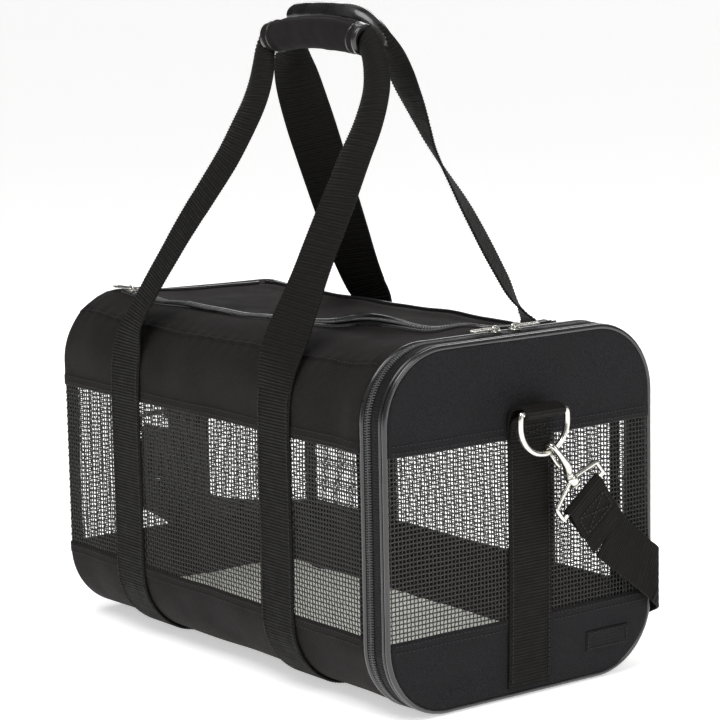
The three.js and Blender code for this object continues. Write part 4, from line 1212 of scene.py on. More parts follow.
def face_slack(y, z):
    """How far the door's face stands out at a point."""
    belly = 2.3 * np.clip(1 - (y / 122) ** 2, 0, 1) * np.clip(1 - ((z - 133) / 130) ** 2, 0, 1)
    edge_share = ease((118 - np.abs(y)) / 22) * ease((z - 8) / 20) * ease((258 - z) / 20)
    wave = 0.45 * np.sin(y / 21.0 + z / 33.0) + 0.35 * np.sin(y / 13.0 - z / 17.0 + 1.0)
    dent = -1.6 * mound(y + 38, z - 222, 16, 20)
    dent += -1.8 * mound(y + 60, z - 22, 30, 10) + 0.8 * mound(y - 45, z - 226, 16, 16)
    under_webbing = 0.85 * np.exp(-((y - 3) / 32) ** 4) * ease((222 - z) / 8)
    return belly + edge_share * (wave + dent) * (1 - under_webbing)


def door_panel(name, node, t_from, t_to, hem_low, hem_high):
    """Makes a cloth panel of the door's face between two points of the outline."""
    half, z = end_rows(RIM_INSET, t_from, t_to)
    y = half[:, None] * np.linspace(-1, 1, 84)[None]
    z = np.broadcast_to(z[:, None], y.shape)
    raised = 0.5 * ((hem_low & (z < z.min() + HEM)) | (hem_high & (z > z.max() - HEM)))
    points = np.stack([DOOR_FACE - 0.9 + raised + face_slack(y, z), y, z], -1)
    panel = Pattern()
    panel.grid(points, np.stack([y, z], -1))
    panel.make(name, door_cloth, "door", [node], "door_fabric", CLOTH)


door_panel("door_low_cloth", "door_panel_low", STOPS[1], LOW_NEAR, False, True)
door_panel("door_high_cloth", "door_panel_high", HIGH_NEAR, STOPS[4], True, False)


def door_place(u, v):
    """The door window's surface, u across and v up."""
    y, z = u - HALF_WIDTH + RIM_INSET, WINDOW_LOW - TUCK + v
    points = np.stack([DOOR_FACE - 1.8 + face_slack(y, z), y, z], -1)
    return points, everywhere(TO_DOOR, points)


door_window = Pattern()
screen(door_window, door_place, 2 * (HALF_WIDTH - RIM_INSET), WINDOW_HIGH - WINDOW_LOW + 2 * TUCK)
door_window.make("door_window_screen", screen_thread, "door", ["door_mesh"], "window_mesh")


def on_face(y, z, out):
    """A place on the door's face, that far out from it."""
    y, z = np.broadcast_arrays(np.asarray(y, float), np.asarray(z, float))
    return np.stack([DOOR_FACE - 0.9 + out + face_slack(y, z), y, z], -1)


patch = Pattern()
patch_y, patch_z = np.meshgrid(np.linspace(59, 101, 43), np.linspace(22, 38, 17))
rim = np.minimum(np.minimum(patch_y - 59, 101 - patch_y), np.minimum(patch_z - 22, 38 - patch_z))
patch_height = 0.15 + 0.75 * np.clip(rim, 0, 1) - 0.2 * np.exp(-((rim - 2.2) / 0.6) ** 2)
patch.grid(on_face(patch_y, patch_z, patch_height), np.stack([patch_y, patch_z], -1))
patch.make("door_plain_patch", zip_tape, "door", ["door_patch"], "patch", 0.5)

door_seams = Pattern()


def sew_face(corners, out=0.6):
    """Stitches on the door's face along a line with corners."""
    corners = np.array(corners, float)
    for a, b in zip(corners, corners[1:]):
        count = int(np.linalg.norm(b - a) / 1.5)
        line = a + (b - a) * np.linspace(0, 1, count)[:, None]
        points = on_face(line[:, 0], line[:, 1], out)
        stitches(door_seams, points, everywhere(TO_DOOR, points))


sew_face([(61.2, 24.2), (98.8, 24.2), (98.8, 35.8), (61.2, 35.8), (61.2, 24.2)], 1.0)
for z in (WINDOW_LOW - 2.6, WINDOW_LOW - 7.4, WINDOW_HIGH + 2.6, WINDOW_HIGH + 7.4):
    sew_face([(-120, z), (-19, z)])
    sew_face([(25, z), (120, z)])

# %% [markdown]
# ## Sliders and pulls
#
# Each slider is a small cast wedge with a bridge over it, and a pull that hangs through the bridge. The
# body is swept along its length with a changing width; the bridge and the pull's frame are bars. They
# ride on their own bodies, so a slider runs along the zip and its pull flips over.

# %% Cast the sliders
def placed(points, at, turn):
    """Points turned about Z and moved to a place."""
    c, s = math.cos(turn), math.sin(turn)
    points = np.asarray(points, float)
    return np.stack([at[0] + c * points[:, 0] - s * points[:, 1],
                     at[1] + s * points[:, 0] + c * points[:, 1], at[2] + points[:, 2]], -1)


def squared(value, power):
    """Pushes a sine or cosine out towards 1, which turns a circle into a rounded box."""
    return np.sign(value) * np.abs(value) ** power


SLIDER_Z = 266.1


def slider(node, at, turn):
    """Casts a slider, and returns the pattern of its pull."""
    body = Pattern()
    stations = np.linspace(-4.5, 4.5, 13)
    rings = []
    for share in stations:
        narrow = math.sqrt(max(0.12, 1 - (abs(share) / 4.9) ** 4))
        width, height = (3.7 + 0.5 * share / 4.5) * narrow, 1.35 * (0.6 + 0.4 * narrow)
        turns = np.arange(16) * math.pi / 8
        rings.append(placed(np.stack([np.full(16, share), width * squared(np.cos(turns), 0.62),
                                      1.0 + height * squared(np.sin(turns), 0.62)], -1), at, turn))
    body.grid(np.array(rings), np.zeros((13, 16, 2)), closed=True, caps=True)
    arch = smooth_line([(-3.1, 0, 1.6), (-2.9, 0, 3.6), (-1.6, 0, 4.75),
                        (1.6, 0, 4.75), (2.9, 0, 3.6), (3.1, 0, 1.6)], 0.5)
    body.cord(placed(arch, at, turn), 0.75, 8, flat=1.3, towards=(0, 0, 1))
    body.make(node + "_cast", nickel, node, [node], "nickel")
    pull = Pattern()
    hoop = smooth_line([(-0.2, -1.9, 3.2), (-0.9, -1.2, 3.2), (-0.9, 1.2, 3.2), (-0.2, 1.9, 3.2),
                        (5, 2.5, 3.2), (12, 2.9, 3.2), (19, 2.7, 3.2), (22.3, 1.4, 3.2),
                        (22.3, -1.4, 3.2), (19, -2.7, 3.2), (12, -2.9, 3.2), (5, -2.5, 3.2)], 0.6, closed=True)
    pull.cord(placed(hoop, at, turn), 0.72, 8, closed=True)
    leaf_x, leaf_y = np.meshgrid(np.linspace(9.5, 22.6, 12), np.linspace(-1, 1, 7), indexing="ij")
    leaf_y = leaf_y * np.where(leaf_x > 19, 2.7 - (leaf_x - 19) * 0.4, 2.75)
    leaf = np.stack([leaf_x, leaf_y, 3.35 + 0.25 * (1 - (leaf_y / 2.8) ** 2)], -1)
    under = leaf[:, ::-1] * np.array([1, 1, 0]) + np.array([0, 0, 1]) * (6.4 - leaf[:, ::-1, 2:])
    for face in (leaf, under):
        pull.grid(placed(face.reshape(-1, 3), at, turn).reshape(leaf.shape), np.zeros((12, 7, 2)))
    return pull


ZIP_SLANT = math.atan2(12, 196)
sliders = {"door_slider_near": ((ZIP_X, -9, SLIDER_Z), -math.pi / 2),
           "door_slider_far": ((ZIP_X, 9, SLIDER_Z), math.pi / 2),
           "top_slider_back": ((-182, -77.2, SLIDER_Z), ZIP_SLANT + math.pi),
           "top_slider_front": ((-170, -76.4, SLIDER_Z), ZIP_SLANT)}
for node, (at, turn) in sliders.items():
    pull = slider(node, at, turn)
    pull.make(node + "_tab", nickel, node.replace("slider", "pull"), [node + "_pull"], "nickel")
# %% [markdown]
# ## Handles
#
# Each handle is one endless webbing: it starts under the bag, runs up a side, leaves the cloth at a row
# of stitches, goes through the grip and comes down again. Here each is one ribbon too, so no joint shows
# where the handle starts to move. Near the grip the webbing curls into a gutter and grows narrower. The
# legs are also turned a little about their own length, as loose webbing is.

# %% Run the handles
SEWN_TO = 226


def wall_knots(x, side):
    """Knots from the middle of the bottom up one side: place, face direction and width."""
    t = np.linspace(1.0 if side < 0 else ROUND - 1.0, height_to_t(SEWN_TO, side), 15)
    points, normals = shell(np.full_like(t, BODY_FRONT - x), t, np.full_like(t, -0.5))
    return np.column_stack([points, normals * -side, np.full(15, HANDLE_WIDTH)])


FOOT_Y, FOOT_Z = 126.6, 234.5


def grip_plane(side, grip_y, grip_z, knots):
    """Knots given as x, height and width in the leaning plane of a handle."""
    lean = unit(np.array([0, grip_y - side * FOOT_Y, grip_z - FOOT_Z]))
    facing = np.cross((1, 0, 0), lean)
    rows = []
    for x, z, width in knots:
        share = (z - FOOT_Z) / (grip_z - FOOT_Z)
        rows.append([x, side * FOOT_Y + share * (grip_y - side * FOOT_Y), z, *facing, width])
    return np.array(rows)


NEAR_GRIP_Y, NEAR_GRIP_Z = -15.0, 475.5
FAR_GRIP_Y, FAR_GRIP_Z = 10.0, 486.5
near_knots = [(-116, 247, 40), (-112, 266, 40), (-105.3, 287, 40), (-98, 306, 40), (-92, 322, 40),
              (-84, 340, 40), (-76.5, 357, 39.5), (-66, 381, 39), (-60, 405, 37.5), (-57.5, 424, 34),
              (-59, 441, 28), (-63, 455, 21.5), (-66.5, 465, 16.5), (-65.5, 472.5, 15), (-58, 475.5, 14.5),
              (-40, 475.5, 14), (0, 475.5, 14), (35, 475.5, 14), (50, 475.3, 14.5), (61, 472.5, 15.5),
              (71, 465, 18), (80.5, 454, 22), (88.5, 441, 27), (92.5, 427, 31), (94, 409, 34.5),
              (92.5, 390, 37), (91.8, 370, 38.5), (91.5, 350, 40), (89.5, 322, 40), (88, 292, 40),
              (86.5, 268, 40), (86, 247, 40)]
far_knots = [(-116, 247, 40), (-119, 262, 40), (-119, 285, 40), (-114.3, 325, 40), (-108, 372, 40),
             (-104, 400, 40), (-100, 425, 38), (-95, 445, 34), (-88, 460, 27), (-80, 471, 20),
             (-69, 480, 16), (-55, 485, 14), (-30, 486, 14), (0, 485.6, 14), (16, 483.5, 14.5),
             (27, 478.5, 17), (35.5, 470, 21), (40, 459, 27), (40.6, 448, 32), (41, 436, 36),
             (43, 420, 39), (44.2, 408, 40), (44.6, 395, 40), (46.5, 384, 40), (50, 371, 40),
             (60, 338, 40), (68, 304, 40), (76, 271, 40), (81, 257, 40), (84.5, 246, 40)]

# %% Turn the legs and lay the handles
# How far each leg is turned towards the door, in degrees, at heights above the floor.
LEG_TURNS = {"near back": [(236, 0), (254, -13), (300, -12), (400, -5), (450, 0)],
             "near front": [(232, 0), (248, 15), (266, 15), (305, 3), (400, 0)],
             "far back": [(236, 0), (255, 20), (310, 35), (380, 48), (436, 48), (462, 22), (478, 0)],
             "far front": [(236, 0), (252, -22), (273, -43), (310, -46), (342, -43), (369, -34), (395, -25),
                           (409, -19), (430, -8), (450, 0)]}


def turned(line, name):
    """Turns a handle's webbing about its own length, each leg by its list."""
    ahead, facing = sweep_frames(line[:, :3])[0], line[:, 3:6]
    at_back = line[:, 0] < -10
    angle = np.zeros(len(line))
    for leg, sign, rows in (("back", 1, at_back), ("front", -1, ~at_back)):
        heights, degrees = np.array(LEG_TURNS[name + " " + leg]).T
        angle[rows] = sign * np.radians(np.interp(line[rows, 2], heights, degrees))
    angle = np.convolve(angle, np.ones(41) / 41, "same")[:, None]
    line[:, 3:6] = facing * np.cos(angle) + np.cross(ahead, facing) * np.sin(angle)
    return line


def lay_handle(name, side, grip_y, grip_z, knots, replaces):
    """One handle as one ribbon, from under the bag up through the grip and down again."""
    middle = grip_plane(side, grip_y, grip_z, knots)
    knots = np.concatenate([wall_knots(LEG_BACK, side), middle, wall_knots(LEG_FRONT, side)[::-1]])
    line = turned(smooth_line(knots, 0.6), name)
    across = unit(np.cross(line[:, 3:6], sweep_frames(line[:, :3])[0]))
    pattern = Pattern()
    webbing(pattern, line[:, :3], across, line[:, 6], curl=0.5)
    piece = pattern.make(name + "_handle_webbing", strap_webbing, None, replaces, "webbing")
    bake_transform(piece)


lay_handle("near", -1, NEAR_GRIP_Y, NEAR_GRIP_Z, near_knots, ["near_handle", "webbing_loop_back"])
lay_handle("far", 1, FAR_GRIP_Y, FAR_GRIP_Z, far_knots, ["far_handle", "webbing_loop_front"])

# %% Sew the handles to the bag
def sew_box(place, half_wide, low, high):
    """A box of stitches with a cross in it. place(a, b) gives points and normals on the webbing."""
    box = [(-half_wide, low), (half_wide, low), (half_wide, high), (-half_wide, high)]
    for first, second in ((0, 1), (1, 2), (2, 3), (3, 0), (0, 2), (1, 3)):
        (a0, b0), (a1, b1) = box[first], box[second]
        s = np.linspace(0, 1, 24)
        yield place(a0 + (a1 - a0) * s, b0 + (b1 - b0) * s)


handle_seams = Pattern()
for side in (-1, 1):
    for x in (LEG_BACK, LEG_FRONT):
        z = np.arange(16, 228, 2.0)
        for a in (-17.6, 17.6):
            stitches(handle_seams, *shell(BODY_FRONT - x - a, height_to_t(z, side), np.full_like(z, -1.62)))
handle_seams.make("handle_stitches", sewing_thread, "carrier", slot="webbing")

# %% [markdown]
# ## The webbing on both ends, and the ring tabs
#
# A webbing runs up each end and at its top it folds over the straight bar of a D-ring and back under
# itself. It stands a little proud of the cloth there, as a shelf, and is pulled slightly narrower by
# the ring.

# %% Run the end webbing over the rings
RING_X, RING_Z = 234.5, 212.5


def back_face(y, z, out):
    """A place on the back wall, that far out from it."""
    y, z = np.broadcast_arrays(np.asarray(y, float), np.asarray(z, float))
    points = np.stack([np.full_like(y, BACK_END + 1.0), y, z], -1)
    moved = slack(points, everywhere(TO_BACK, points))
    moved[..., 0] -= out
    return moved


# Round the ring's bar: how far out, how high, and how wide the webbing is there.
shelf = [(2.6, 206, 40), (4.6, 212.6, 39), (9, 215.7, 37.4), (14, 216.2, 36.6), (18.5, 215.75, 36.4),
         (21.75, RING_Z, 36.4), (18.5, 209.25, 36.4), (13, 208.9, 36.6), (8.6, 208.0, 37.4),
         (5.5, 205, 38.5), (4.4, 199, 39), (4.2, 190, 39)]
ends = {"door": (1, 3.0, on_face), "back": (-1, -3.0, back_face)}
end_seams = {"door": door_seams, "back": Pattern()}
for end, (sign, middle, surface) in ends.items():
    z = np.linspace(8.5, 199, 26)
    rows = [[*surface(middle, height, 1.3), HANDLE_WIDTH] for height in z]
    rows[0][0] -= sign * 0.5
    for out, height, width in shelf:
        nearer = 0.0 if end == "door" else 1.7 * float(ease((9 - out) / 5))
        rows.append([sign * (DOOR_FACE + out - nearer), middle, height, width])
    line = smooth_line(rows, 0.6)
    upright = Pattern()
    webbing(upright, line[:, :3], everywhere((0, -sign, 0), line[:, :3]), line[:, 3])
    upright.make(end + "_upright_webbing", strap_webbing, "door" if end == "door" else "carrier",
                 [end + "_strap", end + "_ring_tab"], "webbing")
    for edge_y in (-17.2, 17.2):
        line = surface(middle + edge_y, np.arange(12, 188, 2.0), 2.42)
        stitches(end_seams[end], line, everywhere((sign, 0, 0), line))
    nearer = 0.0 if end == "door" else 1.7

    def on_tab(a, z, sign=sign, middle=middle, nearer=nearer):
        points = np.stack([np.full_like(a, sign * (DOOR_FACE + 5.35 - nearer)), middle + a, z], -1)
        return points, everywhere((sign, 0, 0), points)

    for points, normals in sew_box(on_tab, 14.5, 191.5, 200.5):
        stitches(end_seams[end], points, normals)
door_seams.make("door_stitches", sewing_thread, "door", slot="door_fabric")
end_seams["back"].make("back_stitches", sewing_thread, "carrier", slot="webbing")

# %% [markdown]
# ## Rings and snap hooks
#
# The hook is cast in one piece: a thick bar on its outer side carries the load and curls over into the
# jaw. A thin spring gate closes it, and a swivel holds the roof-shaped eye for the strap. Each is a bar
# swept along a line with a changing thickness, which gives the soft, poured look of a casting.

# %% Give each hook its own directions
class Hook:
    """The hook's own directions: u out from the end of the bag, v up along the hook, a across it."""

    def __init__(self, sign, origin, down, ring_middle):
        self.sign, self.ring_middle = sign, ring_middle
        self.origin, self.down = np.array(origin), unit(np.array(down))
        self.out, self.up = np.array([sign * 1.0, 0, 0]), -unit(np.array(down))
        self.across = np.cross(self.out, self.up)

    def at(self, u, v, a=0.0):
        """A place on the hook, in its own directions."""
        u, v, a = (np.asarray(k, float)[..., None] for k in np.broadcast_arrays(u, v, a))
        return self.origin + self.out * u + self.up * v + self.across * a


hooks = {"door": Hook(1, (RING_X, 10.848, 183.448), (0, 0.61566, -0.78801), 3.0),
         "back": Hook(-1, (-RING_X, -5.948, 182.198), (0, -0.24192, -0.9703), -3.0)}
jaw_knots = np.array([(-5.5, -4.6, 1.5), (-5.6, -1.5, 2.0), (-5.0, 2.2, 2.1), (-2.9, 4.8, 2.1), (0, 5.7, 2.1),
                      (2.9, 4.8, 2.1), (5.0, 2.2, 2.15), (5.7, -2, 2.2), (5.7, -7, 2.4), (5.3, -12, 2.7),
                      (4.2, -16.5, 3.0), (2.2, -20.3, 3.3), (0.6, -23, 3.2), (0, -26.2, 3.2)])
eye_corners = np.array([(-4.5, -30.6), (-5.6, -31.0), (-23.4, -36.6), (-24.2, -37.4), (-24.2, -46.8),
                        (-23.4, -47.7), (0, -47.7), (23.4, -47.7), (24.2, -46.8), (24.2, -37.4),
                        (23.4, -36.6), (5.6, -31.0), (4.5, -30.6)])


def barrel(pattern, hook, stations):
    """A turned part on the hook's own axis: a list of height and radius."""
    stations = np.array(stations, float)
    turns = np.arange(20) * math.pi / 10
    rings = [hook.at(radius * np.cos(turns), height, radius * np.sin(turns)) for height, radius in stations]
    pattern.grid(np.array(rings), np.zeros((len(stations), 20, 2)), closed=True, caps=True)


# %% Bend the rings, cast the hooks and hang the eyes
for end, hook in hooks.items():
    middle = hook.ring_middle
    turns = np.radians(np.linspace(0, -180, 22))
    bow = [(22 * math.cos(t), 204 + 22 * math.sin(t)) for t in turns]
    outline_yz = [(-19.2, RING_Z), (0, RING_Z), (19.2, RING_Z), (20.9, 211.8), (21.8, 209.6), *bow,
                  (-21.8, 209.6), (-20.9, 211.8)]
    bent = smooth_line([(hook.sign * RING_X, middle + y, z) for y, z in outline_yz], 0.9, closed=True)
    ring = Pattern()
    ring.cord(bent, 2.2, 14, closed=True)
    ring.make(end + "_d_ring", nickel, end + "_ring", [end + "_ring"], "nickel")
    jaw = Pattern()
    line = smooth_line(np.column_stack([hook.at(jaw_knots[:, 0], jaw_knots[:, 1]), jaw_knots[:, 2]]), 0.8)
    jaw.cord(line[:, :3], line[:, 3], 14, flat=1.12, towards=hook.across)
    barrel(jaw, hook, [(-25.2, 1.9), (-25.2, 3.7), (-26.0, 3.9), (-26.5, 3.7), (-26.5, 1.9)])
    barrel(jaw, hook, [(-26.2, 1.9), (-34.9, 1.9)])
    barrel(jaw, hook, [(-34.7, 1.2), (-34.7, 3.2), (-35.4, 3.4), (-36.2, 2.9), (-36.7, 1.6)])
    jaw.make(end + "_hook_casting", nickel, end + "_ring", [end + "_hook"], "nickel")
    gate = Pattern()
    spring = hook.at([-5.2, -5.9, -6.1, -5.7, -4.4], [-5.3, -7.5, -11, -15, -18.2])
    gate_line = smooth_line(np.column_stack([spring, [1.3, 1.5, 1.5, 1.7, 1.5]]), 0.7)
    gate.cord(gate_line[:, :3], gate_line[:, 3], 10, flat=1.35, towards=hook.across)
    gate.cord(smooth_line(hook.at([-7.2, -8.4], -9.2), 0.4), 1.0, 10)
    gate.cord(smooth_line(hook.at(-4.3, -17.4, [-3.4, 3.4]), 1.0), 0.9, 10)
    gate.make(end + "_spring_gate", nickel, end + "_gate", [end + "_hook_gate"], "nickel")
    eye = Pattern()
    barrel(eye, hook, [(-26.9, 2.3), (-26.9, 3.9), (-27.6, 4.5), (-29.5, 4.6), (-32.5, 4.5), (-34.0, 4.1),
                       (-34.4, 2.3)])
    eye_line = smooth_line(hook.at(0, eye_corners[:, 1], eye_corners[:, 0]), 0.8, closed=True)
    eye.cord(eye_line, 1.75, 12, closed=True, towards=hook.out)
    eye.make(end + "_roof_eye", nickel, end + "_eye", [end + "_hook_eye"], "nickel")

# %% [markdown]
# ## The shoulder strap
#
# The strap is folded over the eye's bar and sewn, then it slopes down across the door, turns round the
# far edge and lies along the far side to the back, where it comes up to the other hook. It is one
# ribbon, cut in lengths wherever it passes from one moving part to the next.

# %% Draw the strap's line on an upright wall
def corner(x, y, degrees, radius=9.8):
    """A place on the strap's bend round a corner of the bag."""
    turn = math.radians(degrees)
    return x + radius * math.cos(turn), y + radius * math.sin(turn)


plan_knots = [(234.5, -8), (234.5, 20), (234.5, 45), (234.4, 62), (231.5, 84), (226.6, 104), (222.6, 117),
              corner(212, 122, 12), corner(212, 122, 38), corner(212, 122, 66), corner(212, 122, 88),
              (199, 131.9), (170, 131.6), (138, 130.2), (100, 129.7), (50, 129.6), (0, 129.6), (-50, 129.6),
              (-100, 129.7), (-150, 130.2), (-186, 131.6), corner(-212, 122, 92), corner(-212, 122, 114),
              corner(-212, 122, 142), corner(-212, 122, 168), (-222.1, 104), (-221.6, 80), (-223.6, 40),
              (-228.5, 8), (-233.2, -12), (-234.5, -24), (-234.5, -45), (-234.5, -60)]
plan = smooth_line([(x, y, 0) for x, y in plan_knots], 0.5)[:, :2]
plan_walked = walk(plan)


def along_plan(x, y):
    """How far along the wall a point is."""
    return plan_walked[np.argmin(np.hypot(plan[:, 0] - x, plan[:, 1] - y))]


def on_plan(s, z):
    """The point of the upright wall s along it and z up, and its outward direction."""
    ahead = unit(np.gradient(plan, axis=0))
    x, y = np.interp(s, plan_walked, plan[:, 0]), np.interp(s, plan_walked, plan[:, 1])
    ax, ay = np.interp(s, plan_walked, ahead[:, 0]), np.interp(s, plan_walked, ahead[:, 1])
    return np.stack([x, y, z], -1), unit(np.stack([ay, -ax, np.zeros_like(ax)], -1))


door_hook, back_hook = hooks["door"], hooks["back"]
RUN_FROM = 88.0
route = [door_hook.at(0, -RUN_FROM + 6), door_hook.at(0, -RUN_FROM), (230, 87, 97.5), (225, 106, 84.5),
         (222, 120, 75), (*corner(212, 122, 45), 68.5), (*corner(212, 122, 90), 62.5), (188, 131.7, 50.5),
         (164, 131.5, 38.5), (138, 130.2, 28.5), (105, 129.7, 22.8), (60, 129.6, 21), (0, 129.6, 21),
         (-70, 129.6, 21), (-130, 129.9, 22.5), (-180, 131.3, 28), (*corner(-212, 122, 92), 34),
         (*corner(-212, 122, 168), 39), (-221.6, 85, 44.5), (-223.6, 40, 52), (-229, 6, 64),
         (-232.5, -10, 76), back_hook.at(0, -RUN_FROM - 8), back_hook.at(0, -RUN_FROM),
         back_hook.at(0, -RUN_FROM + 6)]
STRAP_STEP = 0.6
flat_route = smooth_line([(along_plan(x, y), z, 0) for x, y, z in route], STRAP_STEP)[:, :2]


def nearest(x, y):
    """The step of the strap's route that is nearest to a place in plan."""
    return int(np.argmin(np.abs(flat_route[:, 0] - along_plan(x, y))))


begins, ends_at = (nearest(*hook.at(0, -RUN_FROM)[:2]) for hook in (door_hook, back_hook))
flat_route = flat_route[begins:ends_at + 1]


def laid_webbing(pattern, place, route, start):
    """A webbing that lies on a wall and bends with it. route is its middle line in the flat, and start is
    how far along the whole strap it begins, so that its ribs carry on."""
    ahead = unit(np.gradient(route, axis=0))
    side = np.stack([-ahead[:, 1], ahead[:, 0]], -1)
    flat = route[:, None] + side[:, None] * (COLUMNS * STRAP_WIDTH / 2)[None, :, None]
    points, normals = place(flat[..., 0], flat[..., 1])
    walked = start + np.arange(len(route)) * float(np.mean(np.linalg.norm(np.diff(route, axis=0), axis=1)))
    close_webbing(pattern, points, normals, webbing_profile(walked, STRAP_THICK), walked, STRAP_WIDTH)


# %% Cut the strap into lengths
def strap_length(name, first, last, body=None, replaces=()):
    """The strap between two steps of its route, as one piece."""
    pattern = Pattern()
    laid_webbing(pattern, on_plan, flat_route[first:last + 1], STRAP_STEP * first)
    return pattern.make(name, strap_webbing, body, replaces, "webbing")


def metres_at(index):
    return tuple(on_plan(flat_route[index, 0], flat_route[index, 1])[0] * MM)


last = len(flat_route) - 1
at_corner, on_far_side, at_back = nearest(222.2, 119), nearest(50, 129.6), nearest(-221.6, 90)
sloping = strap_length("door_strap_sloping_webbing", 0, at_corner, None, ["shoulder_strap_door"])
metres_at(at_corner)
metres_at(0)
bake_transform(sloping)
turning = strap_length("far_strap_turning_webbing", at_corner, on_far_side)
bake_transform(turning)
strap_length("far_strap_webbing", on_far_side, at_back, "carrier", ["shoulder_strap_far"])
rising = strap_length("back_strap_rising_webbing", at_back, last)
metres_at(at_back)
metres_at(last)
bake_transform(rising)
print("shoulder strap between its two folds:", round(STRAP_STEP * len(flat_route) + 2 * (RUN_FROM - 73)), "mm")

# %% Fold the strap over each eye's bar, and sew it
fold_knots = [(-1.15, -72.5), (-1.3, -66), (-1.9, -58), (-2.8, -52), (-3.15, -47.7), (-2.2, -45.4),
              (0, -44.5), (2.2, -45.4), (3.15, -47.7), (2.8, -52), (1.7, -58), (1.0, -66), (0.8, -74)]
swivel_knots = [(0.8, -74), (0.55, -78), (0.2, -83), (0, -RUN_FROM)]
for end, hook in hooks.items():
    for name, knots in (("fold", fold_knots), ("swivel", swivel_knots)):
        line = smooth_line(hook.at(*np.transpose(knots)), STRAP_STEP)
        pattern = Pattern()
        across = everywhere(-hook.across * hook.sign, line)
        webbing(pattern, line, across, STRAP_WIDTH, STRAP_WIDTH, STRAP_THICK)
        fixed = name == "fold"
        piece = pattern.make(f"{end}_strap_{name}_webbing", strap_webbing, end + "_eye" if fixed else None,
                             [end + "_strap_fold"] if fixed else (), "webbing")
        if not fixed:
            tuple(hook.at(0, -RUN_FROM) * MM)
            tuple(hook.at(0.8, -74.0) * MM)
            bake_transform(piece)

for end, hook in hooks.items():
    sewn = Pattern()

    def on_fold(a, v, hook=hook):
        a, v = np.broadcast_arrays(np.asarray(a, float), np.asarray(v, float))
        points = hook.at(np.interp(-v, [52, 58, 66, 73], [3.95, 2.85, 2.15, 1.95]), v, a)
        return points, everywhere(hook.out, points)

    for points, normals in sew_box(on_fold, 15.0, -71.5, -56):
        stitches(sewn, points, normals)
    sewn.make(end + "_strap_stitches", sewing_thread, end + "_eye", slot="webbing")

# %% Finish the strap's adjuster
softened = keep_solid("strap_adjuster", plastic).modifiers.new("soft edges", "BEVEL")
softened.width, softened.segments = 0.5 * MM, 3
# %% [markdown]
# ## Grips
#
# The near grip is a padded sleeve of cloth rolled round the webbing, with a vinyl trim at each end. The
# far one is a softer vinyl flap with a piped edge; its front end slopes down with the webbing that goes
# through it. Both are modelled as rounded tubes with a mouth at each end, so the webbing really passes
# through, and they are creased where the padding folds.

# %% Shape a soft sleeve
def sleeve_rows(line, radii, turns, seam_at, seam_depth, creases):
    """Rings of a soft tube: line has x, y, z; radii are half depth and half height at each point."""
    ahead = sweep_frames(line)[0]
    rings = []
    for n, (point, (deep, tall)) in enumerate(zip(line, radii)):
        dent = seam_depth * np.exp(-((np.angle(np.exp(1j * (turns - seam_at)))) / 0.13) ** 2)
        crease = creases * (np.sin(n * 0.23 + 2.1 * np.cos(turns)) + 0.7 * np.sin(n * 0.41 + 3 * turns))
        size = 1 - (dent + crease)
        rings.append(point + np.array([0, 1.0, 0]) * (deep * size * np.cos(turns))[:, None] +
                     np.cross(ahead[n], (0, 1, 0)) * (-tall * size * np.sin(turns))[:, None])
    return np.array(rings)


def mouth_radii(share, lip, body_size, mouth):
    """How wide a sleeve is along its length: rolled lips at both ends, and a mouth that goes in."""
    near_end = np.minimum(share, 1 - share)
    roll = np.sqrt(np.clip(1 - (1 - near_end / lip) ** 2, 0, 1))
    return np.where(near_end < lip, mouth + (body_size - mouth) * roll, body_size)


# %% Roll the near grip
grip_turns = np.arange(40) * math.pi / 20
near_x = np.linspace(-62, 57, 120)
arch = -5.4 * ((near_x + 2.5) / 60) ** 2 + 1.8
near_roll = np.column_stack([near_x, np.full_like(near_x, NEAR_GRIP_Y), NEAR_GRIP_Z + arch])
share = (near_x - near_x[0]) / (near_x[-1] - near_x[0])
plump = 10.3 + 0.5 * np.sin(share * math.pi) + 0.35 * np.sin(near_x / 13.0)
plump -= 0.5 * np.exp(-((near_x + 48) / 5) ** 2)
round_size = mouth_radii(share, 0.035, plump, 7.6)
near_tube = Pattern()
near_radii = np.column_stack([round_size, round_size * 1.02])
near_points = sleeve_rows(near_roll, near_radii, grip_turns, -1.9, 0.09, 0.012)
walked = np.broadcast_to(near_x[:, None], near_points.shape[:2])
around = np.broadcast_to((grip_turns * 10.5)[None], near_points.shape[:2])
near_tube.grid(near_points, np.stack([walked, around], -1), closed=True)
near_grip = near_tube.make("near_grip_roll", grip_cloth, "near_handle", ["near_grip"], "grip", 1.8, 1)

# %% Trim and sew the near grip
trims = Pattern()
trim_seams = Pattern()
for low, high in ((-62.6, -53.5), (48.0, 57.6)):
    xs = np.linspace(low, high, 22)
    s = (xs - low) / (high - low)
    outward = s if high > 0 else 1 - s
    size = np.interp(xs, near_x, plump) + 0.75 + 0.25 * np.exp(-((outward - 0.05) / 0.06) ** 2)
    size = np.where(outward > 0.86, size - 2.6 * ((outward - 0.86) / 0.14) ** 2, size)
    line = np.column_stack([xs, np.full_like(xs, NEAR_GRIP_Y), NEAR_GRIP_Z + np.interp(xs, near_x, arch)])
    rings = sleeve_rows(line, np.column_stack([size, size * 1.02]), grip_turns, -1.9, 0.06, 0.008)
    trims.grid(rings, np.zeros((*rings.shape[:2], 2)), closed=True)
    for stop in (4, 17):
        loop = np.concatenate([rings[stop], rings[stop][:1]])
        centre = line[stop]
        stitches(trim_seams, loop, loop - centre, 2.0, 0.8, 0.32)
trims.make("near_grip_trims", piping_vinyl, "near_handle", slot="grip", thick=1.0)
under = near_points[6:-6, 29]
stitches(trim_seams, under, np.broadcast_to(np.array([0, -0.3, -1.0]), under.shape), 2.6, 0.9, 0.35)
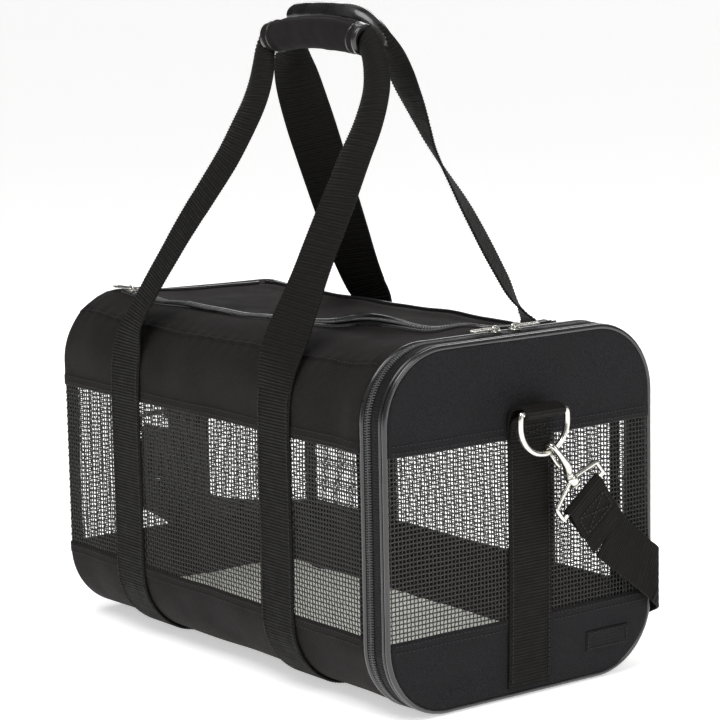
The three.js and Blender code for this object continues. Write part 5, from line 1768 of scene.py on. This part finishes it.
trim_seams.make("near_grip_stitches", sewing_thread, "near_handle", slot="grip")

# %% Make the far grip's flap
# Along the flap: x, height, and half its height.
FAR_FLAP = [(-68.5, 485.4, 7.0), (-63, 487.6, 8.0), (-53, 488.9, 8.4), (-28, 489.6, 8.6), (0, 489.2, 8.6),
            (12, 488.0, 8.5), (21, 485.0, 8.3), (29, 479.4, 8.0), (35.5, 472.0, 7.5), (39.5, 464.5, 6.8)]
far_path = smooth_line([(x, 126.6 - (z - 234.5) * 116.6 / 252, z, size) for x, z, size in FAR_FLAP], 1.1)
far_size = far_path[:, 3] * np.sqrt(np.clip(1 - (1 - np.minimum(np.arange(len(far_path)),
                                    np.arange(len(far_path))[::-1]) / 5.0).clip(0, 1) ** 2 * 0.45, 0, 1))
far_flap = Pattern()
far_radii = np.column_stack([far_size * 0.92, far_size])
far_points = sleeve_rows(far_path[:, :3], far_radii, grip_turns, -1.2, 0.06, 0.010)
far_walk = np.broadcast_to((np.arange(len(far_path)) * 1.1)[:, None], far_points.shape[:2])
far_around = np.broadcast_to((grip_turns * 9)[None], far_walk.shape)
far_flap.grid(far_points, np.stack([far_walk, far_around], -1), closed=True)
far_grip = far_flap.make("far_grip_flap", piping_vinyl, "far_handle", ["far_grip"], "grip", 1.4, 1)
edge_cord = Pattern()
edge_cord.cord(far_points[2:-3, 26], 1.15, 10)
edge_cord.cord(far_points[2:-3, 9] + np.array([0, 0, 0.2]), 0.9, 10)
edge_cord.make("far_grip_piping", piping_vinyl, "far_handle", slot="grip")

# %% [markdown]
# ## The fleece pad
#
# The pad is a cropped fleece over a thin wadding, laid on the floor board. It starts as a thin slab with
# rounded corners, and Blender's cloth simulation blows it up a little, with no gravity, so its top
# crowns and its edges draw in between the corners as a filled cushion's do. How far a point may move is
# capped, because the pad must stay inside the bag.

# %% Cut the pad
pad_low, pad_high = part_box("fleece_pad")
pad = Pattern()
pad_x = np.linspace(pad_low[0] / MM + 2.5, pad_high[0] / MM - 2.5, 96)
pad_side = np.linspace(0, 2 * math.pi, 72, endpoint=False)


def rounded(length_share):
    """How much narrower the pad is near its two ends, for its rounded corners."""
    reach = np.minimum(length_share, 1 - length_share) * (pad_x[-1] - pad_x[0])
    return 22 * (1 - np.sqrt(np.clip(1 - np.clip(1 - reach / 22, 0, 1) ** 2, 0, 1)))


narrow = rounded((pad_x - pad_x[0]) / (pad_x[-1] - pad_x[0]))
flat_y, flat_z = squared(np.cos(pad_side), 0.32), squared(np.sin(pad_side), 0.75)
half_low, half_high = 85.5, 96.5
height = 0.5 * (flat_z + 1)
rings = np.stack([np.broadcast_to(pad_x[:, None], (96, 72)),
                  flat_y[None] * (half_low + (half_high - half_low) * height[None] - narrow[:, None]),
                  np.broadcast_to((9.3 + 7.6 * height)[None], (96, 72))], -1)
pad.grid(rings, np.stack([rings[..., 0], rings[..., 1]], -1), closed=True, caps=True)
fleece_piece = pad.make("fleece_cushion", fleece, "pad", ["fleece_pad"], "fleece")


# %% Let cloth simulation fill the pad
def fill_with_cloth(piece, voxel, cap):
    """Remeshes a piece, fills it under pressure for 20 frames, and caps how far its points move."""
    bpy.context.view_layer.objects.active = piece
    remesh = piece.modifiers.new("even cloth", "REMESH")
    remesh.mode, remesh.voxel_size = "VOXEL", voxel * MM
    graph = bpy.context.evaluated_depsgraph_get()
    even = bpy.data.meshes.new_from_object(piece.evaluated_get(graph))
    piece.modifiers.remove(remesh)
    piece.data = even
    even.materials.clear()
    even.materials.append(fleece)
    before = np.empty(len(even.vertices) * 3)
    even.vertices.foreach_get("co", before)
    cloth = piece.modifiers.new("filling", "CLOTH")
    cloth.settings.use_pressure = True
    cloth.settings.uniform_pressure_force = 4
    cloth.settings.effector_weights.gravity = 0
    cloth.settings.quality = 4
    scene = bpy.context.scene
    for step in range(1, 21):
        scene.frame_set(step)
    after_mesh = bpy.data.meshes.new_from_object(piece.evaluated_get(bpy.context.evaluated_depsgraph_get()))
    after = np.empty_like(before)
    after_mesh.vertices.foreach_get("co", after)
    moved = (after - before).reshape(-1, 3)
    far = np.linalg.norm(moved, axis=1, keepdims=True)
    moved *= np.minimum(1, cap * MM / np.maximum(far, 1e-9))
    piece.modifiers.remove(cloth)
    scene.frame_set(1)
    return before.reshape(-1, 3) + moved


settled = fill_with_cloth(fleece_piece, 5, 6) / MM
low, high = pad_low[2] / MM + 0.2, pad_high[2] / MM + 2.6
settled[:, 2] = np.clip(settled[:, 2], low, high)
reach = 89 + np.clip(settled[:, 2] - 8.4, 0, 11) * 1.05
settled[:, 1] = np.clip(settled[:, 1], -reach, reach)
settled[:, 0] = np.clip(settled[:, 0], pad_low[0] / MM, pad_high[0] / MM)
fleece_piece.data.vertices.foreach_set("co", (settled * MM).ravel())
even_threads = fleece_piece.data.attributes.get("thread") or fleece_piece.data.attributes.new(
    "thread", "FLOAT_VECTOR", "POINT")
even_threads.data.foreach_set("vector", settled.astype(np.float32).ravel())
fleece_piece.data.update()
fleece_piece.data.polygons.foreach_set("use_smooth", np.ones(len(fleece_piece.data.polygons), bool))
finer = fleece_piece.modifiers.new("finer", "SUBSURF")
finer.levels = finer.render_levels = 1
# %% Raise the fleece's tufts
pile_texture = bpy.data.textures.new("fleece tufts", "CLOUDS")
pile_texture.noise_scale = 0.007
tufts = fleece_piece.modifiers.new("tufts", "DISPLACE")
tufts.texture, tufts.texture_coords = pile_texture, "GLOBAL"
tufts.strength, tufts.mid_level = 1.1 * MM, 0.5
print("fleece pad:", len(fleece_piece.data.vertices), "points")

# %% [markdown]
# ## Finishing
#
# Any solid of the plain model that no piece replaces would show through, so the last check lists them.
# The boxes of the solid model and of the new pieces are both printed. Cloth may stand a little proud
# of the solid model, but the bag may not grow.

# %% Print the sizes and finish
left = sorted(name for name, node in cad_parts.items() if not node.hide_render)
print("solids kept as they are:", left)
sizes = {"solid": frame_box, "visual": [list(corner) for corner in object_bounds()]}
print("visual model, in metres:", sizes["visual"])
